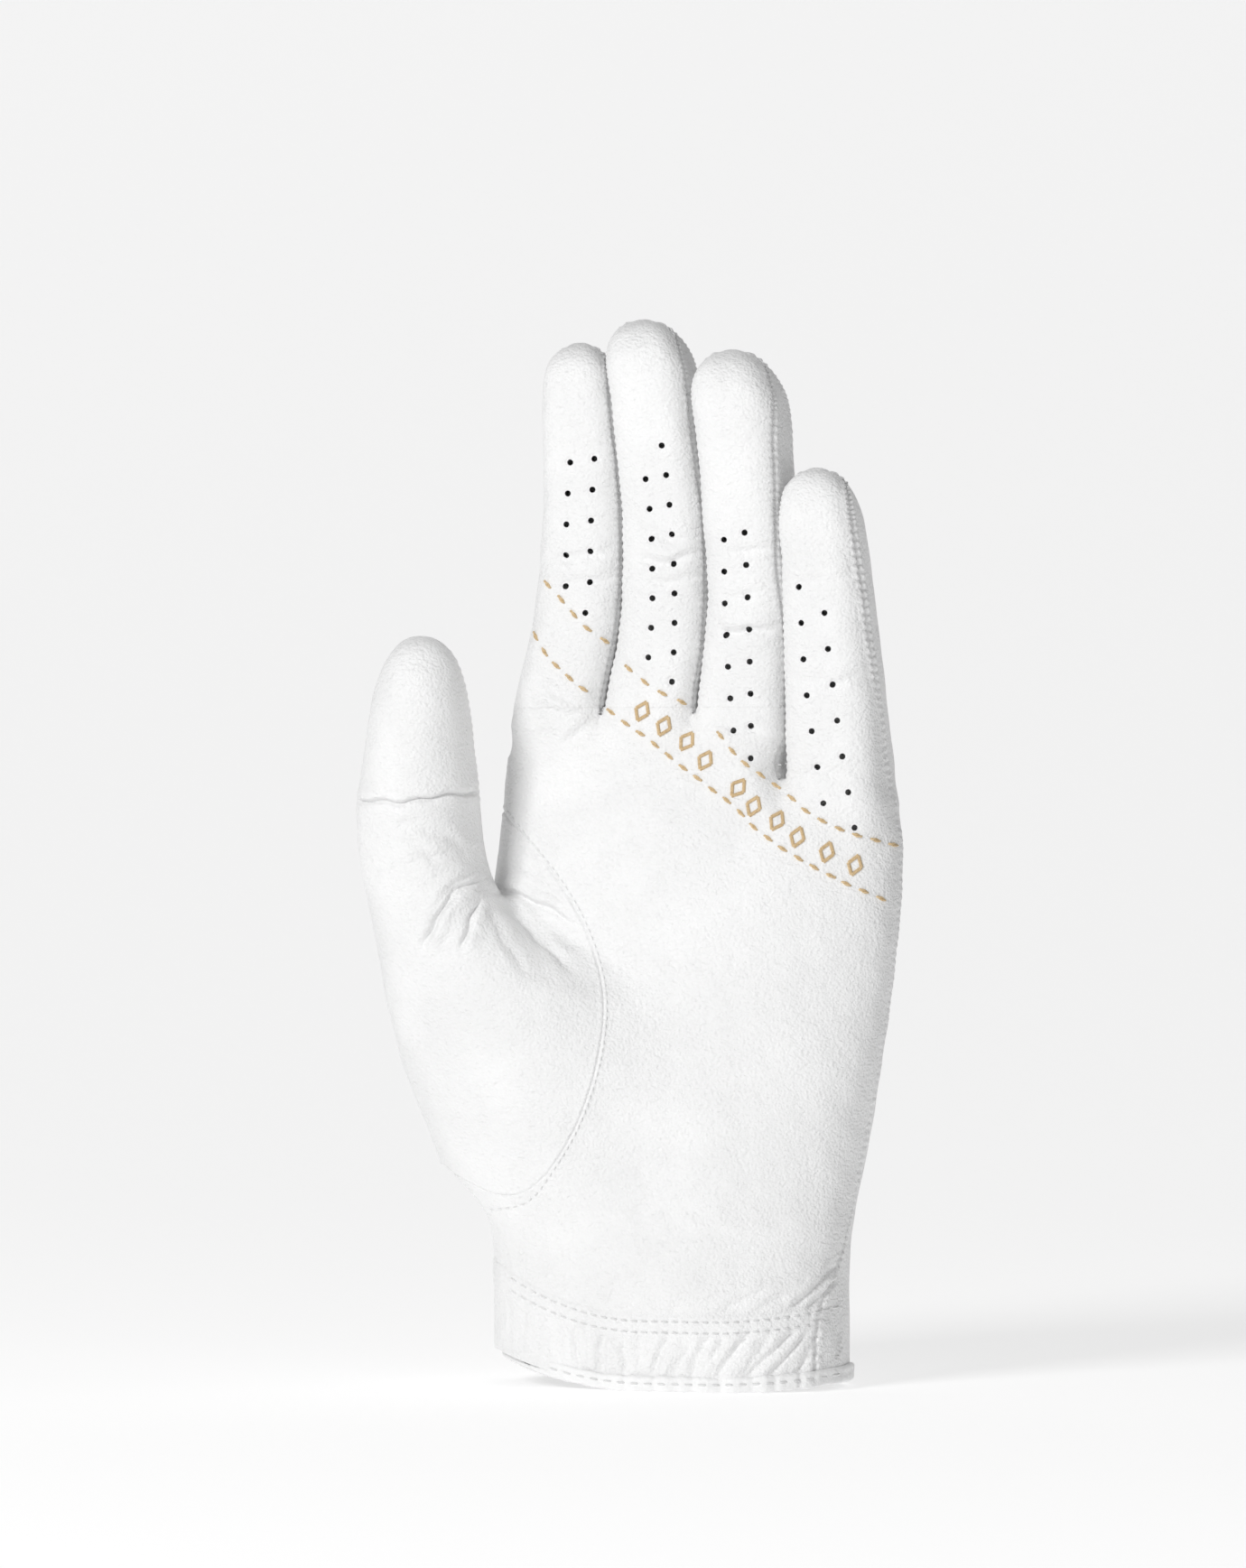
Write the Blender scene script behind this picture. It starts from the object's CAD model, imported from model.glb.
import math

import bpy
import numpy as np
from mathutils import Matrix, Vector
from mathutils.bvhtree import BVHTree

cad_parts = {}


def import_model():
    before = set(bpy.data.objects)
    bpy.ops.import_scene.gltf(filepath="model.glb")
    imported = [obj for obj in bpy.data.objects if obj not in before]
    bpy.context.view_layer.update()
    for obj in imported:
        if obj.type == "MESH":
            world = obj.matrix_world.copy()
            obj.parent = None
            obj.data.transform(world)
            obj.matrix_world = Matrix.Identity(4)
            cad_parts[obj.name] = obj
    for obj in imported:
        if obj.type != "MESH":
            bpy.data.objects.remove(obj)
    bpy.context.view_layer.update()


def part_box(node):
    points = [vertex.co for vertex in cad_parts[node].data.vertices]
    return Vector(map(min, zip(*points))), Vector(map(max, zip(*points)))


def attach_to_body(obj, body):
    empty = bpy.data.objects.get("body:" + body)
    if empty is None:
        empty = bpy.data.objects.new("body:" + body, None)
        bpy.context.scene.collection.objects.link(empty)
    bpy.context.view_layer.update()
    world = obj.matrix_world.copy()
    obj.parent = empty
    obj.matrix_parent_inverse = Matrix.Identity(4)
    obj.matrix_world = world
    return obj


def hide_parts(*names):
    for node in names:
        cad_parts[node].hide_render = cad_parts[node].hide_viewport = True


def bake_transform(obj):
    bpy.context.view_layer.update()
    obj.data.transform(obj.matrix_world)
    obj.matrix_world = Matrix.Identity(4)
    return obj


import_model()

# The looks of a left-hand leather golf glove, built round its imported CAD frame. Its leather is meshed from
# smooth forms of the hand, in millimetres, and SHIFT moves those forms to where the CAD's cuff stands.
CUFF_MIDDLE = (10.1, 1.2)
cuff_low, cuff_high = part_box("cuff_binding")
SHIFT = np.array([(cuff_low.x + cuff_high.x) * 500 - CUFF_MIDDLE[0],
                  (cuff_low.y + cuff_high.y) * 500 - CUFF_MIDDLE[1], 0.0])


# ---------------------------------------------------------------- forms, in millimetres
LOOK = np.radians(18.0)          # the glove is seen from this far round towards the little finger
COS, SIN = np.cos(LOOK), np.sin(LOOK)


def table(rows, soft):
    """Smooth curves through rows of (height, values...), as a fine table over the height."""
    rows = np.array(rows, float)
    z = np.arange(rows[0, 0] - 30, rows[-1, 0] + 30, 0.5)
    half = int(3 * soft / 0.5)
    kernel = np.exp(-0.5 * (np.arange(-half, half + 1) * 0.5 / soft) ** 2)
    kernel /= kernel.sum()
    columns = []
    for values in rows[:, 1:].T:
        raw = np.interp(z, rows[:, 0], values)
        # linear extension past both ends, so that smoothing doesn't pull the ends in
        columns.append(np.convolve(np.pad(raw, half, mode="edge"), kernel, mode="valid"))
    return z, columns


def column(p, form, power, cap=None, flare=0.0):
    """Rough signed distance to a form with level rounded sections.

    cap is the (start, height, power) of a domed end, and flare widens the palm side.
    """
    z, (cx, cy, a, b) = form
    at = p[:, 2]
    y = (p[:, 1] - np.interp(at, z, cy)) / np.interp(at, z, b)
    wider = 1 - flare * np.clip(y, -1.2, 1.2)
    x = np.abs(p[:, 0] - np.interp(at, z, cx)) / (np.interp(at, z, a) * wider)
    y = np.abs(y)
    q = (x**power + y**power) ** (1 / power)
    size = np.minimum(np.interp(at, z, a), np.interp(at, z, b))
    if cap is not None:
        start, height, m = cap
        rise = np.maximum(0, at - start) / height
        q = (q**m + rise**m) ** (1 / m)
    return (q - 1) * size


def smooth_min(a, b, k):
    """The smaller of two distances, with a soft join about k wide."""
    h = np.clip(0.5 + 0.5 * (b - a) / k, 0, 1)
    return b + (a - b) * h - k * h * (1 - h)


def smooth_step(x, low, high):
    """Rises smoothly from 0 to 1 between low and high."""
    t = np.clip((x - low) / (high - low), 0, 1)
    return t * t * (3 - 2 * t)


PALM = table([
    (-10, 10.1, 1.2, 36.9, 21.0),
    (0, 10.1, 1.2, 36.9, 21.0),
    (20, 10.0, 1.0, 36.4, 20.5),
    (40, 10.4, 0.6, 38.4, 18.8),
    (60, 12.4, 0.2, 40.8, 17.6),
    (80, 13.5, 0.0, 43.0, 16.6),
    (100, 14.4, 0.0, 44.6, 15.4),
    (115, 15.2, 0.0, 43.9, 13.8),
    (130, 15.6, 0.0, 42.4, 11.8),
    (142, 15.8, 0.0, 41.3, 9.6),
], 5.0)
THUMB = table([
    (24, -14.0, -1.0, 8.0, 8.0),
    (36, -19.0, -3.5, 13.0, 10.0),
    (50, -20.6, -6.0, 18.0, 12.2),
    (66, -21.5, -9.0, 24.0, 14.6),
    (82, -26.6, -12.0, 22.6, 15.0),
    (94, -33.8, -14.6, 17.4, 13.6),
    (104, -38.9, -17.0, 13.4, 12.5),
    (114, -40.2, -18.8, 12.9, 12.0),
    (122, -40.2, -20.0, 12.9, 12.0),
    (134, -39.2, -22.2, 11.2, 11.2),
    (145, -37.7, -24.8, 9.8, 10.0),
    (157, -37.0, -27.0, 9.0, 9.2),
], 3.0)
THUMB_CAP = (140.0, 16.6, 2.2)
# each finger's rows of height, centre x and y, half width, half depth; then its domed tip, and its base
FINGERS = {
    "index": (table([
        (124, -15.1, 0.0, 9.6, 10.0), (142, -14.6, 0.0, 9.7, 10.2), (158, -10.3, -1.4, 9.7, 9.5),
        (170, -8.35, -2.4, 9.25, 9.3), (185, -7.7, -3.8, 8.7, 9.1), (198, -8.0, -5.2, 8.1, 9.0),
        (209, -8.3, -6.2, 7.6, 8.8), (219, -8.9, -7.0, 7.5, 8.6)], 3.5), (206.5, 11.8, 2.3), 142.0),
    "middle": (table([
        (124, 5.35, 0.0, 9.65, 10.2), (142, 5.65, 0.0, 9.75, 10.4), (158, 9.35, -1.8, 9.45, 9.6),
        (170, 10.5, -3.2, 9.2, 9.4), (185, 10.4, -5.1, 8.9, 9.4), (198, 9.3, -7.0, 8.6, 9.6),
        (209, 8.4, -8.6, 8.6, 9.8), (223, 6.3, -10.0, 8.6, 9.4)], 3.5), (210.5, 12.2, 2.3), 142.0),
    "ring": (table([
        (112, 25.9, 0.0, 9.7, 10.2), (140, 26.0, 0.0, 9.8, 10.4), (156, 28.05, -2.6, 8.95, 9.9),
        (170, 28.7, -5.0, 8.4, 9.9), (185, 28.7, -7.6, 8.7, 10.2), (202, 28.4, -10.6, 9.2, 10.4),
        (216, 26.4, -13.0, 9.1, 9.6)], 3.5), (203.0, 12.6, 2.3), 140.0),
    "little": (table([
        (104, 46.2, 0.0, 11.4, 10.8), (126, 46.55, 0.0, 10.35, 10.8), (146, 46.55, -4.4, 9.75, 9.8),
        (160, 46.4, -7.6, 9.1, 9.4), (170, 46.2, -9.4, 8.7, 9.0), (182, 45.4, -11.4, 8.1, 8.2),
        (191, 44.8, -12.8, 8.0, 8.0)], 3.5), (179.5, 11.6, 2.2), 126.0),
}
HAND_POWER, FINGER_POWER, THUMB_POWER = 2.35, 3.3, 2.2
FLARE = 0.03                     # a finger is wider by this share at its palm side
CROTCH, LITTLE_CROTCH = 139.0, 124.2    # the palm's top between the fingers, and beside the little finger


def palm_field(p):
    """The palm, domed over at its top, with the thumb."""
    top = CROTCH - (CROTCH - LITTLE_CROTCH) * smooth_step(p[:, 0], 25.0, 38.0)
    over = (p[:, 2] - top) * 0.8
    palm = -smooth_min(-column(p, PALM, HAND_POWER), -over, 7.0)
    thumb = column(p, THUMB, THUMB_POWER, THUMB_CAP)
    # the thumb flows softly into the palm low down, and stands clear of it above its crotch
    softness = 15.0 - 12.5 * smooth_step(p[:, 2], 80.0, 106.0)
    return smooth_min(palm, thumb, softness)


def finger_field(p, name):
    """One finger's form, which sinks into the palm below its root."""
    form, cap, base = FINGERS[name]
    sunk = 0.35 * np.maximum(0, base - 4.0 - p[:, 2])
    return np.maximum(column(p, form, FINGER_POWER, cap, FLARE) + sunk, base - 24.0 - p[:, 2])


def main_field(p):
    """The palm, the thumb and the roots of all the fingers."""
    palm = palm_field(p)
    found = None
    for name in FINGERS:
        finger = finger_field(p, name)
        if name == "little":
            # its own piece starts just above its root
            finger = finger + 3.0 * np.maximum(0, p[:, 2] - CUT_Z["little"] - 2.0)
        both = smooth_min(palm, finger, 3.5)
        found = both if found is None else np.minimum(found, both)
    return found


def one_finger(name):
    """One finger standing on the palm."""
    return lambda p: smooth_min(palm_field(p), finger_field(p, name), 3.5)


# ---------------------------------------------------------------- meshing
CORNERS = np.array([(i, j, k) for i in (0, 1) for j in (0, 1) for k in (0, 1)])
CUBE_EDGES = [(a, b) for a in range(8) for b in range(a + 1, 8) if np.abs(CORNERS[a] - CORNERS[b]).sum() == 1]


def surface_net(field, low, high, step):
    """Quads on the zero surface of a field inside a box."""
    low = np.array(low, float)
    counts = np.ceil((np.array(high) - low) / step).astype(int) + 1
    nx, ny, nz = counts
    values = np.empty((nx, ny, nz), np.float32)
    xs, ys = low[0] + step * np.arange(nx), low[1] + step * np.arange(ny)
    slab = max(1, 400000 // (nx * ny))
    for k in range(0, nz, slab):
        zs = low[2] + step * np.arange(k, min(nz, k + slab))
        grid = np.stack(np.meshgrid(xs, ys, zs, indexing="ij"), -1).reshape(-1, 3)
        values[:, :, k:k + len(zs)] = field(grid).reshape(nx, ny, len(zs))
    inside = values < 0
    corner = [inside[i:nx - 1 + i, j:ny - 1 + j, k:nz - 1 + k] for i, j, k in CORNERS]
    total = sum(c.astype(np.uint8) for c in corner)
    cells = np.argwhere((total > 0) & (total < 8))
    number = np.full((nx - 1, ny - 1, nz - 1), -1, np.int64)
    number[tuple(cells.T)] = np.arange(len(cells))
    at = [values[tuple((cells + c).T)] for c in CORNERS]
    summed, hits = np.zeros((len(cells), 3)), np.zeros(len(cells))
    for a, b in CUBE_EDGES:
        cross = (at[a] < 0) != (at[b] < 0)
        share = np.where(cross, at[a] / np.where(cross, at[a] - at[b], 1), 0)
        point = CORNERS[a] + share[:, None] * (CORNERS[b] - CORNERS[a])
        summed += np.where(cross[:, None], point, 0)
        hits += cross
    points = low + step * (cells + summed / hits[:, None])
    quads = []
    for axis in range(3):
        u, v = (axis + 1) % 3, (axis + 2) % 3
        first = [slice(0, n) for n in inside.shape]
        second = list(first)
        first[axis], second[axis] = slice(0, -1), slice(1, None)
        cross = inside[tuple(first)] != inside[tuple(second)]
        edges = np.argwhere(cross)
        keep = (edges[:, u] > 0) & (edges[:, v] > 0) & (edges[:, u] < inside.shape[u] - 1) \
            & (edges[:, v] < inside.shape[v] - 1)
        edges = edges[keep]
        ring = []
        for du, dv in ((-1, -1), (0, -1), (0, 0), (-1, 0)):
            cell = edges.copy()
            cell[:, u] += du
            cell[:, v] += dv
            ring.append(number[tuple(cell.T)])
        ring = np.stack(ring, -1)
        outward = inside[tuple(edges.T)]
        ring = np.where(outward[:, None], ring, ring[:, ::-1])
        quads.append(ring)
    return points, np.concatenate(quads)


def gradient(field, p, h=0.05):
    """The slope of a field, by central differences."""
    return np.stack([(field(p + h * e) - field(p - h * e)) / (2 * h) for e in np.eye(3)], -1)


def settle(field, p, rounds=2):
    """Moves points onto the zero surface of a field."""
    for _ in range(rounds):
        g = gradient(field, p)
        p = p - (field(p) / np.maximum((g**2).sum(1), 0.05))[:, None] * g
    return p


def triangles(points, quads):
    """Quads cut along their shorter diagonals."""
    a, b, c, d = (points[quads[:, i]] for i in range(4))
    short = ((a - c)**2).sum(1) <= ((b - d)**2).sum(1)
    one = np.where(short[:, None], quads[:, [0, 1, 2]], quads[:, [0, 1, 3]])
    two = np.where(short[:, None], quads[:, [0, 2, 3]], quads[:, [1, 2, 3]])
    return np.concatenate([one, two])


def normals_of(points, tris):
    """Smooth normals, weighted by area."""
    a, b, c = (points[tris[:, i]] for i in range(3))
    n = np.cross(b - a, c - a)
    out = np.zeros_like(points)
    for i in range(3):
        for axis in range(3):
            out[:, axis] += np.bincount(tris[:, i], n[:, axis], len(points))
    return out / np.maximum(np.linalg.norm(out, axis=1, keepdims=True), 1e-12)


def screen(p):
    """The plane square to the view: across and up, in millimetres."""
    return np.stack([p[:, 0] * COS + p[:, 1] * SIN, p[:, 2]], -1)


def cut_up(tris, mid):
    """Triangles divided at the middles of their edges. mid holds each edge's new point, or -1."""
    many = (mid >= 0).sum(1)
    out = [tris[many == 0]]
    full = many == 3
    t, m = tris[full], mid[full]
    out += [np.stack(c, -1) for c in ((t[:, 0], m[:, 0], m[:, 2]), (m[:, 0], t[:, 1], m[:, 1]),
                                      (m[:, 2], m[:, 1], t[:, 2]), (m[:, 0], m[:, 1], m[:, 2]))]
    for turn in range(3):
        order = np.roll(np.arange(3), -turn)
        one = (many == 1) & (mid[:, turn] >= 0)
        t, m = tris[one][:, order], mid[one][:, turn]
        out += [np.stack([t[:, 0], m, t[:, 2]], -1), np.stack([m, t[:, 1], t[:, 2]], -1)]
        two = (many == 2) & (mid[:, turn] < 0)
        t, m = tris[two][:, order], mid[two][:, order]
        out += [np.stack([m[:, 1], t[:, 2], m[:, 2]], -1), np.stack([t[:, 0], t[:, 1], m[:, 1]], -1),
                np.stack([t[:, 0], m[:, 1], m[:, 2]], -1)]
    return np.concatenate(out)


def refine(points, tris, chosen, extras):
    """Splits every edge of the chosen triangles in half. extras are per-point vectors that follow."""
    edges = np.sort(np.concatenate([tris[:, [0, 1]], tris[:, [1, 2]], tris[:, [2, 0]]]), axis=1)
    count = len(points)
    key = edges[:, 0] * np.int64(count) + edges[:, 1]
    unique, back = np.unique(key, return_inverse=True)
    marked = np.zeros(len(unique), bool)
    per_tri = back.reshape(3, -1).T
    marked[per_tri[chosen].ravel()] = True
    new_id = np.full(len(unique), -1, np.int64)
    new_id[marked] = count + np.arange(marked.sum())
    a, b = unique[marked] // count, unique[marked] % count
    points = np.concatenate([points, (points[a] + points[b]) / 2])
    extras = [np.concatenate([e, (e[a] + e[b]) / 2]) for e in extras]
    return points, cut_up(tris, new_id[per_tri]), extras


def split(points, tris, phi, extras, snap=0.06):
    """Cuts triangles along phi = 0. Gives the new arrays and the side, -1 or 1, of each triangle."""
    phi = np.where(np.abs(phi) < snap, 0.0, phi)
    edges = np.sort(np.concatenate([tris[:, [0, 1]], tris[:, [1, 2]], tris[:, [2, 0]]]), axis=1)
    count = len(points)
    unique, back = np.unique(edges[:, 0] * np.int64(count) + edges[:, 1], return_inverse=True)
    a, b = unique // count, unique % count
    cross = phi[a] * phi[b] < 0
    new_id = np.full(len(unique), -1, np.int64)
    new_id[cross] = count + np.arange(cross.sum())
    a, b = a[cross], b[cross]
    share = (phi[a] / (phi[a] - phi[b]))[:, None]
    points = np.concatenate([points, points[a] + share * (points[b] - points[a])])
    extras = [np.concatenate([e, e[a] + share * (e[b] - e[a])]) for e in extras]
    phi = np.concatenate([phi, np.zeros(len(a))])
    tris = cut_up(tris, new_id[back.reshape(3, -1).T])
    side = np.sign(np.sign(phi[tris]).sum(1))
    return points, tris, extras, side


def along_line(q, line):
    """Distance of 2-D points to a polyline, with the length along it and the side (left is positive)."""
    line = np.array(line, float)
    best = np.full(len(q), 1e9)
    run, hand = np.zeros(len(q)), np.ones(len(q))
    start = 0.0
    for a, b in zip(line[:-1], line[1:]):
        d = b - a
        size = np.hypot(*d)
        t = np.clip(((q - a) @ d) / size**2, 0, 1)
        off = q - a - t[:, None] * d
        far = np.hypot(off[:, 0], off[:, 1])
        near = far < best
        best = np.where(near, far, best)
        run = np.where(near, start + t * size, run)
        side = d[0] * (q[:, 1] - a[1]) - d[1] * (q[:, 0] - a[0])
        hand = np.where(near, np.where(side >= 0, 1.0, -1.0), hand)
        start += size
    return best, run, hand, start


def smooth_line(points, step=1.5):
    """A Catmull-Rom curve through 2-D points, as closely spaced points."""
    p = np.array(points, float)
    p = np.concatenate([[2 * p[0] - p[1]], p, [2 * p[-1] - p[-2]]])
    out = []
    for i in range(1, len(p) - 2):
        n = max(2, int(np.hypot(*(p[i + 1] - p[i])) / step))
        t = np.arange(n)[:, None] / n
        a, b, c, d = p[i - 1], p[i], p[i + 1], p[i + 2]
        out.append(0.5 * (2 * b + (c - a) * t + (2 * a - 5 * b + 4 * c - d) * t**2
                          + (3 * b - a - 3 * c + d) * t**3))
    out.append(p[-2][None])
    return np.concatenate(out)


# where one leather panel ends and the next begins
CUT_Z = {"index": 142.0, "middle": 142.0, "ring": 142.0, "little": 127.2}
THUMB_CUT_Z = 122.0              # the thumb's crease
RIM_Z = 1.2                      # the leather's lower edge, inside the binding
CUFF_Z = 13.4                    # the seam between the cuff band and the palm
CUFF_ROWS = (CUFF_Z - 1.15, CUFF_Z + 1.15)
STRIP_HALF = 5.4                 # half the height of a finger's side strip
SLIT_X = 9.0                     # the middle of the slit on the back of the wrist
SLIT_FORM = ((-8, 50, 60, 80), (3.5, 1.4, -0.6, -4.6))   # its heights, and half its width at each
BACK_Y = 5.0                     # everything on the back of the wrist lies behind this
THUMB_SEAM_BACK = 4.0            # how far behind the thumb's middle its side seam runs
THUMB_SEAM = smooth_line([
    (-27.6, 121.5), (-26.2, 119.1), (-18.6, 110.6), (-11.0, 99.2), (-6.6, 87.8), (-5.5, 78.3), (-7.2, 66.9),
    (-11.0, 55.5), (-16.3, 46.2), (-22.0, 39.2), (-26.6, 36.8), (-31.5, 36.9), (-38.0, 40.0),
])


def lift(p):
    """The cuff sweeps up a little at both sides of the palm, more along its seam than at its edge."""
    across = screen(p)[:, 0]
    left = np.interp(p[:, 2], [0, 3, 14.6, 24, 46], [4.9, 5.4, 8.4, 7.2, 0])
    left *= (np.maximum(0, 2.0 - across) / 27.5)**2
    right = np.interp(p[:, 2], [0, 14.6, 24, 40], [1.5, 3.0, 2.4, 0])
    right *= (np.maximum(0, across - 18.0) / 27.0)**1.5
    return (left + right) * (1 - smooth_step(p[:, 1], 3.0, 16.0))


def noise(p, size, seed):
    """A smooth unevenness, between about -1 and 1, with features of about that size."""
    rng = np.random.default_rng(seed)
    total = np.zeros(len(p))
    for _ in range(9):
        d = rng.normal(size=3)
        d *= rng.uniform(0.7, 1.4) * 2 * np.pi / size / np.linalg.norm(d)
        total += np.sin(p @ d + rng.uniform(0, 2 * np.pi))
    return total / 3.0


def groove(d, width):
    """A soft channel, 1 deep at its middle."""
    return np.exp(-(d / width)**2)


def crease(q, line, width, depth, bulge=0.4, fade=0.3):
    """A fold pressed in along a line on the seen side, with the leather standing up beside it."""
    d, run, hand, total = along_line(q, smooth_line(line))
    t = run / total
    end = smooth_step(t, -0.001, fade) * (1 - smooth_step(t, 1 - fade, 1.001))
    soft = bulge * groove(d - 1.3 - 0.8 * width, 1.2 + 0.5 * width) * (1 + 0.35 * hand)
    return end * depth * (soft - groove(d, width))


# folds on the seen side: points, width, depth, bulge, and for some how far their ends fade
FOLDS = [
    # the thumb's crease and the folds that run out from its crotch
    ([(-59.0, 122.6), (-53.0, 122.4), (-47.1, 122.2), (-42.0, 123.1), (-36.5, 123.8), (-30.8, 124.3)],
     0.40, 1.05, 0.30, 0.05),
    ([(-54.0, 118.6), (-46.0, 117.6), (-38.0, 115.0), (-31.0, 109.0)], 1.1, 0.40, 0.5),
    ([(-50.0, 115.2), (-44.0, 113.0), (-38.0, 109.0)], 0.9, 0.25, 0.5),
    ([(-29.8, 105.6), (-33.0, 105.2), (-36.3, 103.6), (-41.4, 96.0), (-43.6, 90.6)], 0.65, 1.10, 0.65, 0.22),
    ([(-31.0, 102.0), (-33.0, 98.4), (-34.2, 94.6), (-35.4, 91.0)], 0.55, 0.95, 0.55, 0.25),
    ([(-30.4, 108.4), (-34.0, 107.0), (-38.0, 103.6), (-42.6, 98.4)], 0.8, 0.55, 0.5),
    ([(-30.3, 110.6), (-36.0, 111.5), (-42.0, 110.5), (-48.0, 107.5)], 1.2, 0.35, 0.5),
    ([(-30.4, 103.2), (-27.0, 103.4), (-23.6, 102.5), (-19.9, 101.0), (-15.0, 98.8), (-10.6, 96.0)],
     0.6, 0.85, 0.6, 0.22),
    ([(-29.6, 102.8), (-22.4, 97.4), (-16.2, 91.0), (-9.4, 85.2)], 0.9, 0.70, 0.6),
    ([(-30.0, 101.6), (-27.4, 96.0), (-24.0, 90.0), (-20.4, 85.0)], 1.0, 0.40, 0.5),
    ([(-26.5, 107.4), (-22.0, 106.2), (-17.0, 103.4), (-13.0, 100.0)], 1.1, 0.30, 0.5),
    # index finger: its base folds, and soft folds higher up
    ([(-20.0, 148.6), (-15.0, 144.8), (-10.0, 142.8), (-6.4, 142.4)], 1.2, 0.55, 0.5),
    ([(-21.0, 143.0), (-15.0, 140.8), (-10.0, 140.9), (-6.3, 141.6)], 1.1, 0.45, 0.5),
    ([(-6.2, 141.2), (-9.0, 138.0), (-12.6, 135.6), (-16.0, 134.0)], 1.1, 0.45, 0.5),
    ([(-18.6, 174.5), (-14.0, 173.2), (-8.0, 173.8), (-2.0, 175.6)], 1.2, 0.42, 0.5),
    ([(-18.0, 169.4), (-12.0, 168.4), (-6.0, 168.8), (-2.0, 170.4)], 1.1, 0.30, 0.5),
    # middle finger
    ([(-0.4, 174.6), (4.0, 172.4), (9.0, 172.3), (15.4, 174.6)], 1.1, 0.62, 0.6),
    ([(-0.4, 179.2), (5.0, 178.4), (10.0, 176.4), (15.6, 177.6)], 1.0, 0.40, 0.5),
    ([(1.6, 169.0), (6.0, 168.2), (11.0, 168.6), (15.8, 170.4)], 1.0, 0.32, 0.5),
    ([(-0.4, 152.4), (4.0, 149.4), (9.0, 147.6), (15.0, 146.4)], 1.2, 0.30, 0.5),
    # ring finger
    ([(17.0, 158.4), (21.0, 157.6), (26.0, 157.8), (31.0, 158.4)], 1.0, 0.75, 0.6),
    ([(16.6, 175.6), (20.0, 174.4), (25.0, 174.2), (29.6, 175.4)], 1.0, 0.38, 0.5),
    ([(17.2, 166.0), (21.0, 164.9), (25.0, 165.2), (29.0, 166.4)], 1.0, 0.28, 0.5),
    ([(17.0, 141.0), (20.0, 138.4), (24.0, 137.0), (29.0, 137.4)], 1.1, 0.35, 0.5),
    # little finger
    ([(31.0, 169.0), (35.0, 168.0), (41.0, 168.0), (48.0, 169.4)], 1.1, 0.30, 0.5),
    ([(31.4, 149.0), (36.0, 147.4), (43.0, 147.2), (52.0, 149.0)], 1.2, 0.35, 0.5),
    ([(32.4, 125.6), (36.0, 128.2), (40.0, 128.8), (45.0, 127.8)], 1.1, 0.38, 0.5),
    # across the palm
    ([(-4.0, 96.0), (6.0, 91.0), (18.0, 90.5), (30.0, 95.0)], 2.2, 0.28, 0.5),
    ([(-14.0, 40.0), (-4.0, 38.0), (8.0, 38.4), (20.0, 36.6)], 1.6, 0.22, 0.5),
    ([(-8.0, 33.6), (4.0, 32.0), (18.0, 32.6), (34.0, 30.6)], 1.5, 0.22, 0.5),
]


# the folds that the cuff's elastic draws in, and the pulls above its seam
CUFF_FOLDS = [
    ([(-19.0, 12.4), (-18.6, 8.0), (-18.8, 4.0)], 0.9, 0.22),
    ([(-15.6, 12.0), (-15.0, 8.0), (-15.3, 4.0)], 0.7, 0.18),
    ([(-12.1, 12.6), (-11.3, 7.8), (-10.2, 2.6)], 0.6, 0.50),
    ([(-8.4, 12.4), (-8.8, 8.6), (-8.2, 5.0)], 0.8, 0.26),
    ([(-5.0, 12.4), (-6.1, 7.8), (-5.3, 3.0)], 0.85, 0.72),
    ([(-1.6, 10.4), (-1.0, 6.8), (-1.2, 2.6)], 0.6, 0.48),
    ([(2.4, 12.4), (1.6, 8.0), (1.9, 4.0)], 0.8, 0.26),
    ([(8.6, 12.4), (5.5, 6.8), (4.5, 2.4)], 0.75, 0.72),
    ([(13.6, 10.4), (10.6, 6.6), (8.8, 3.0)], 0.65, 0.50),
    ([(16.8, 12.4), (13.6, 6.6), (12.4, 2.4)], 0.8, 0.70),
    ([(19.6, 12.0), (18.0, 8.6), (16.6, 6.0)], 0.7, 0.30),
    ([(25.2, 12.4), (20.6, 7.2), (17.6, 2.4)], 0.8, 0.74),
    ([(29.6, 12.2), (26.4, 8.2), (23.8, 5.6)], 0.8, 0.34),
    ([(35.4, 12.6), (29.2, 7.6), (23.2, 2.6)], 0.75, 0.74),
    ([(37.0, 11.0), (32.4, 6.6), (28.2, 2.8)], 0.65, 0.52),
    ([(37.4, 7.6), (34.6, 3.4)], 0.5, 0.45),
    ([(16.6, 15.6), (22.1, 18.4), (29.0, 20.8)], 0.9, 0.42),
    ([(24.0, 15.4), (30.0, 18.4), (36.6, 20.2)], 0.8, 0.34),
    ([(32.0, 15.6), (37.3, 19.0), (43.2, 24.6)], 0.8, 0.80),
    ([(36.0, 15.4), (40.4, 18.4), (43.8, 21.8)], 0.6, 0.55),
    ([(8.0, 15.6), (11.0, 19.0), (16.0, 22.0)], 1.1, 0.24),
    ([(-4.0, 16.0), (-3.0, 21.0), (-1.0, 26.0)], 1.4, 0.20),
    ([(-12.0, 16.6), (-12.6, 22.0), (-12.0, 28.0)], 1.5, 0.22),
    ([(-20.0, 18.0), (-19.0, 25.0), (-17.0, 31.0)], 1.4, 0.24),
    ([(44.2, 15.6), (43.4, 9.0), (42.7, 3.0)], 0.40, 0.40),
]


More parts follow.
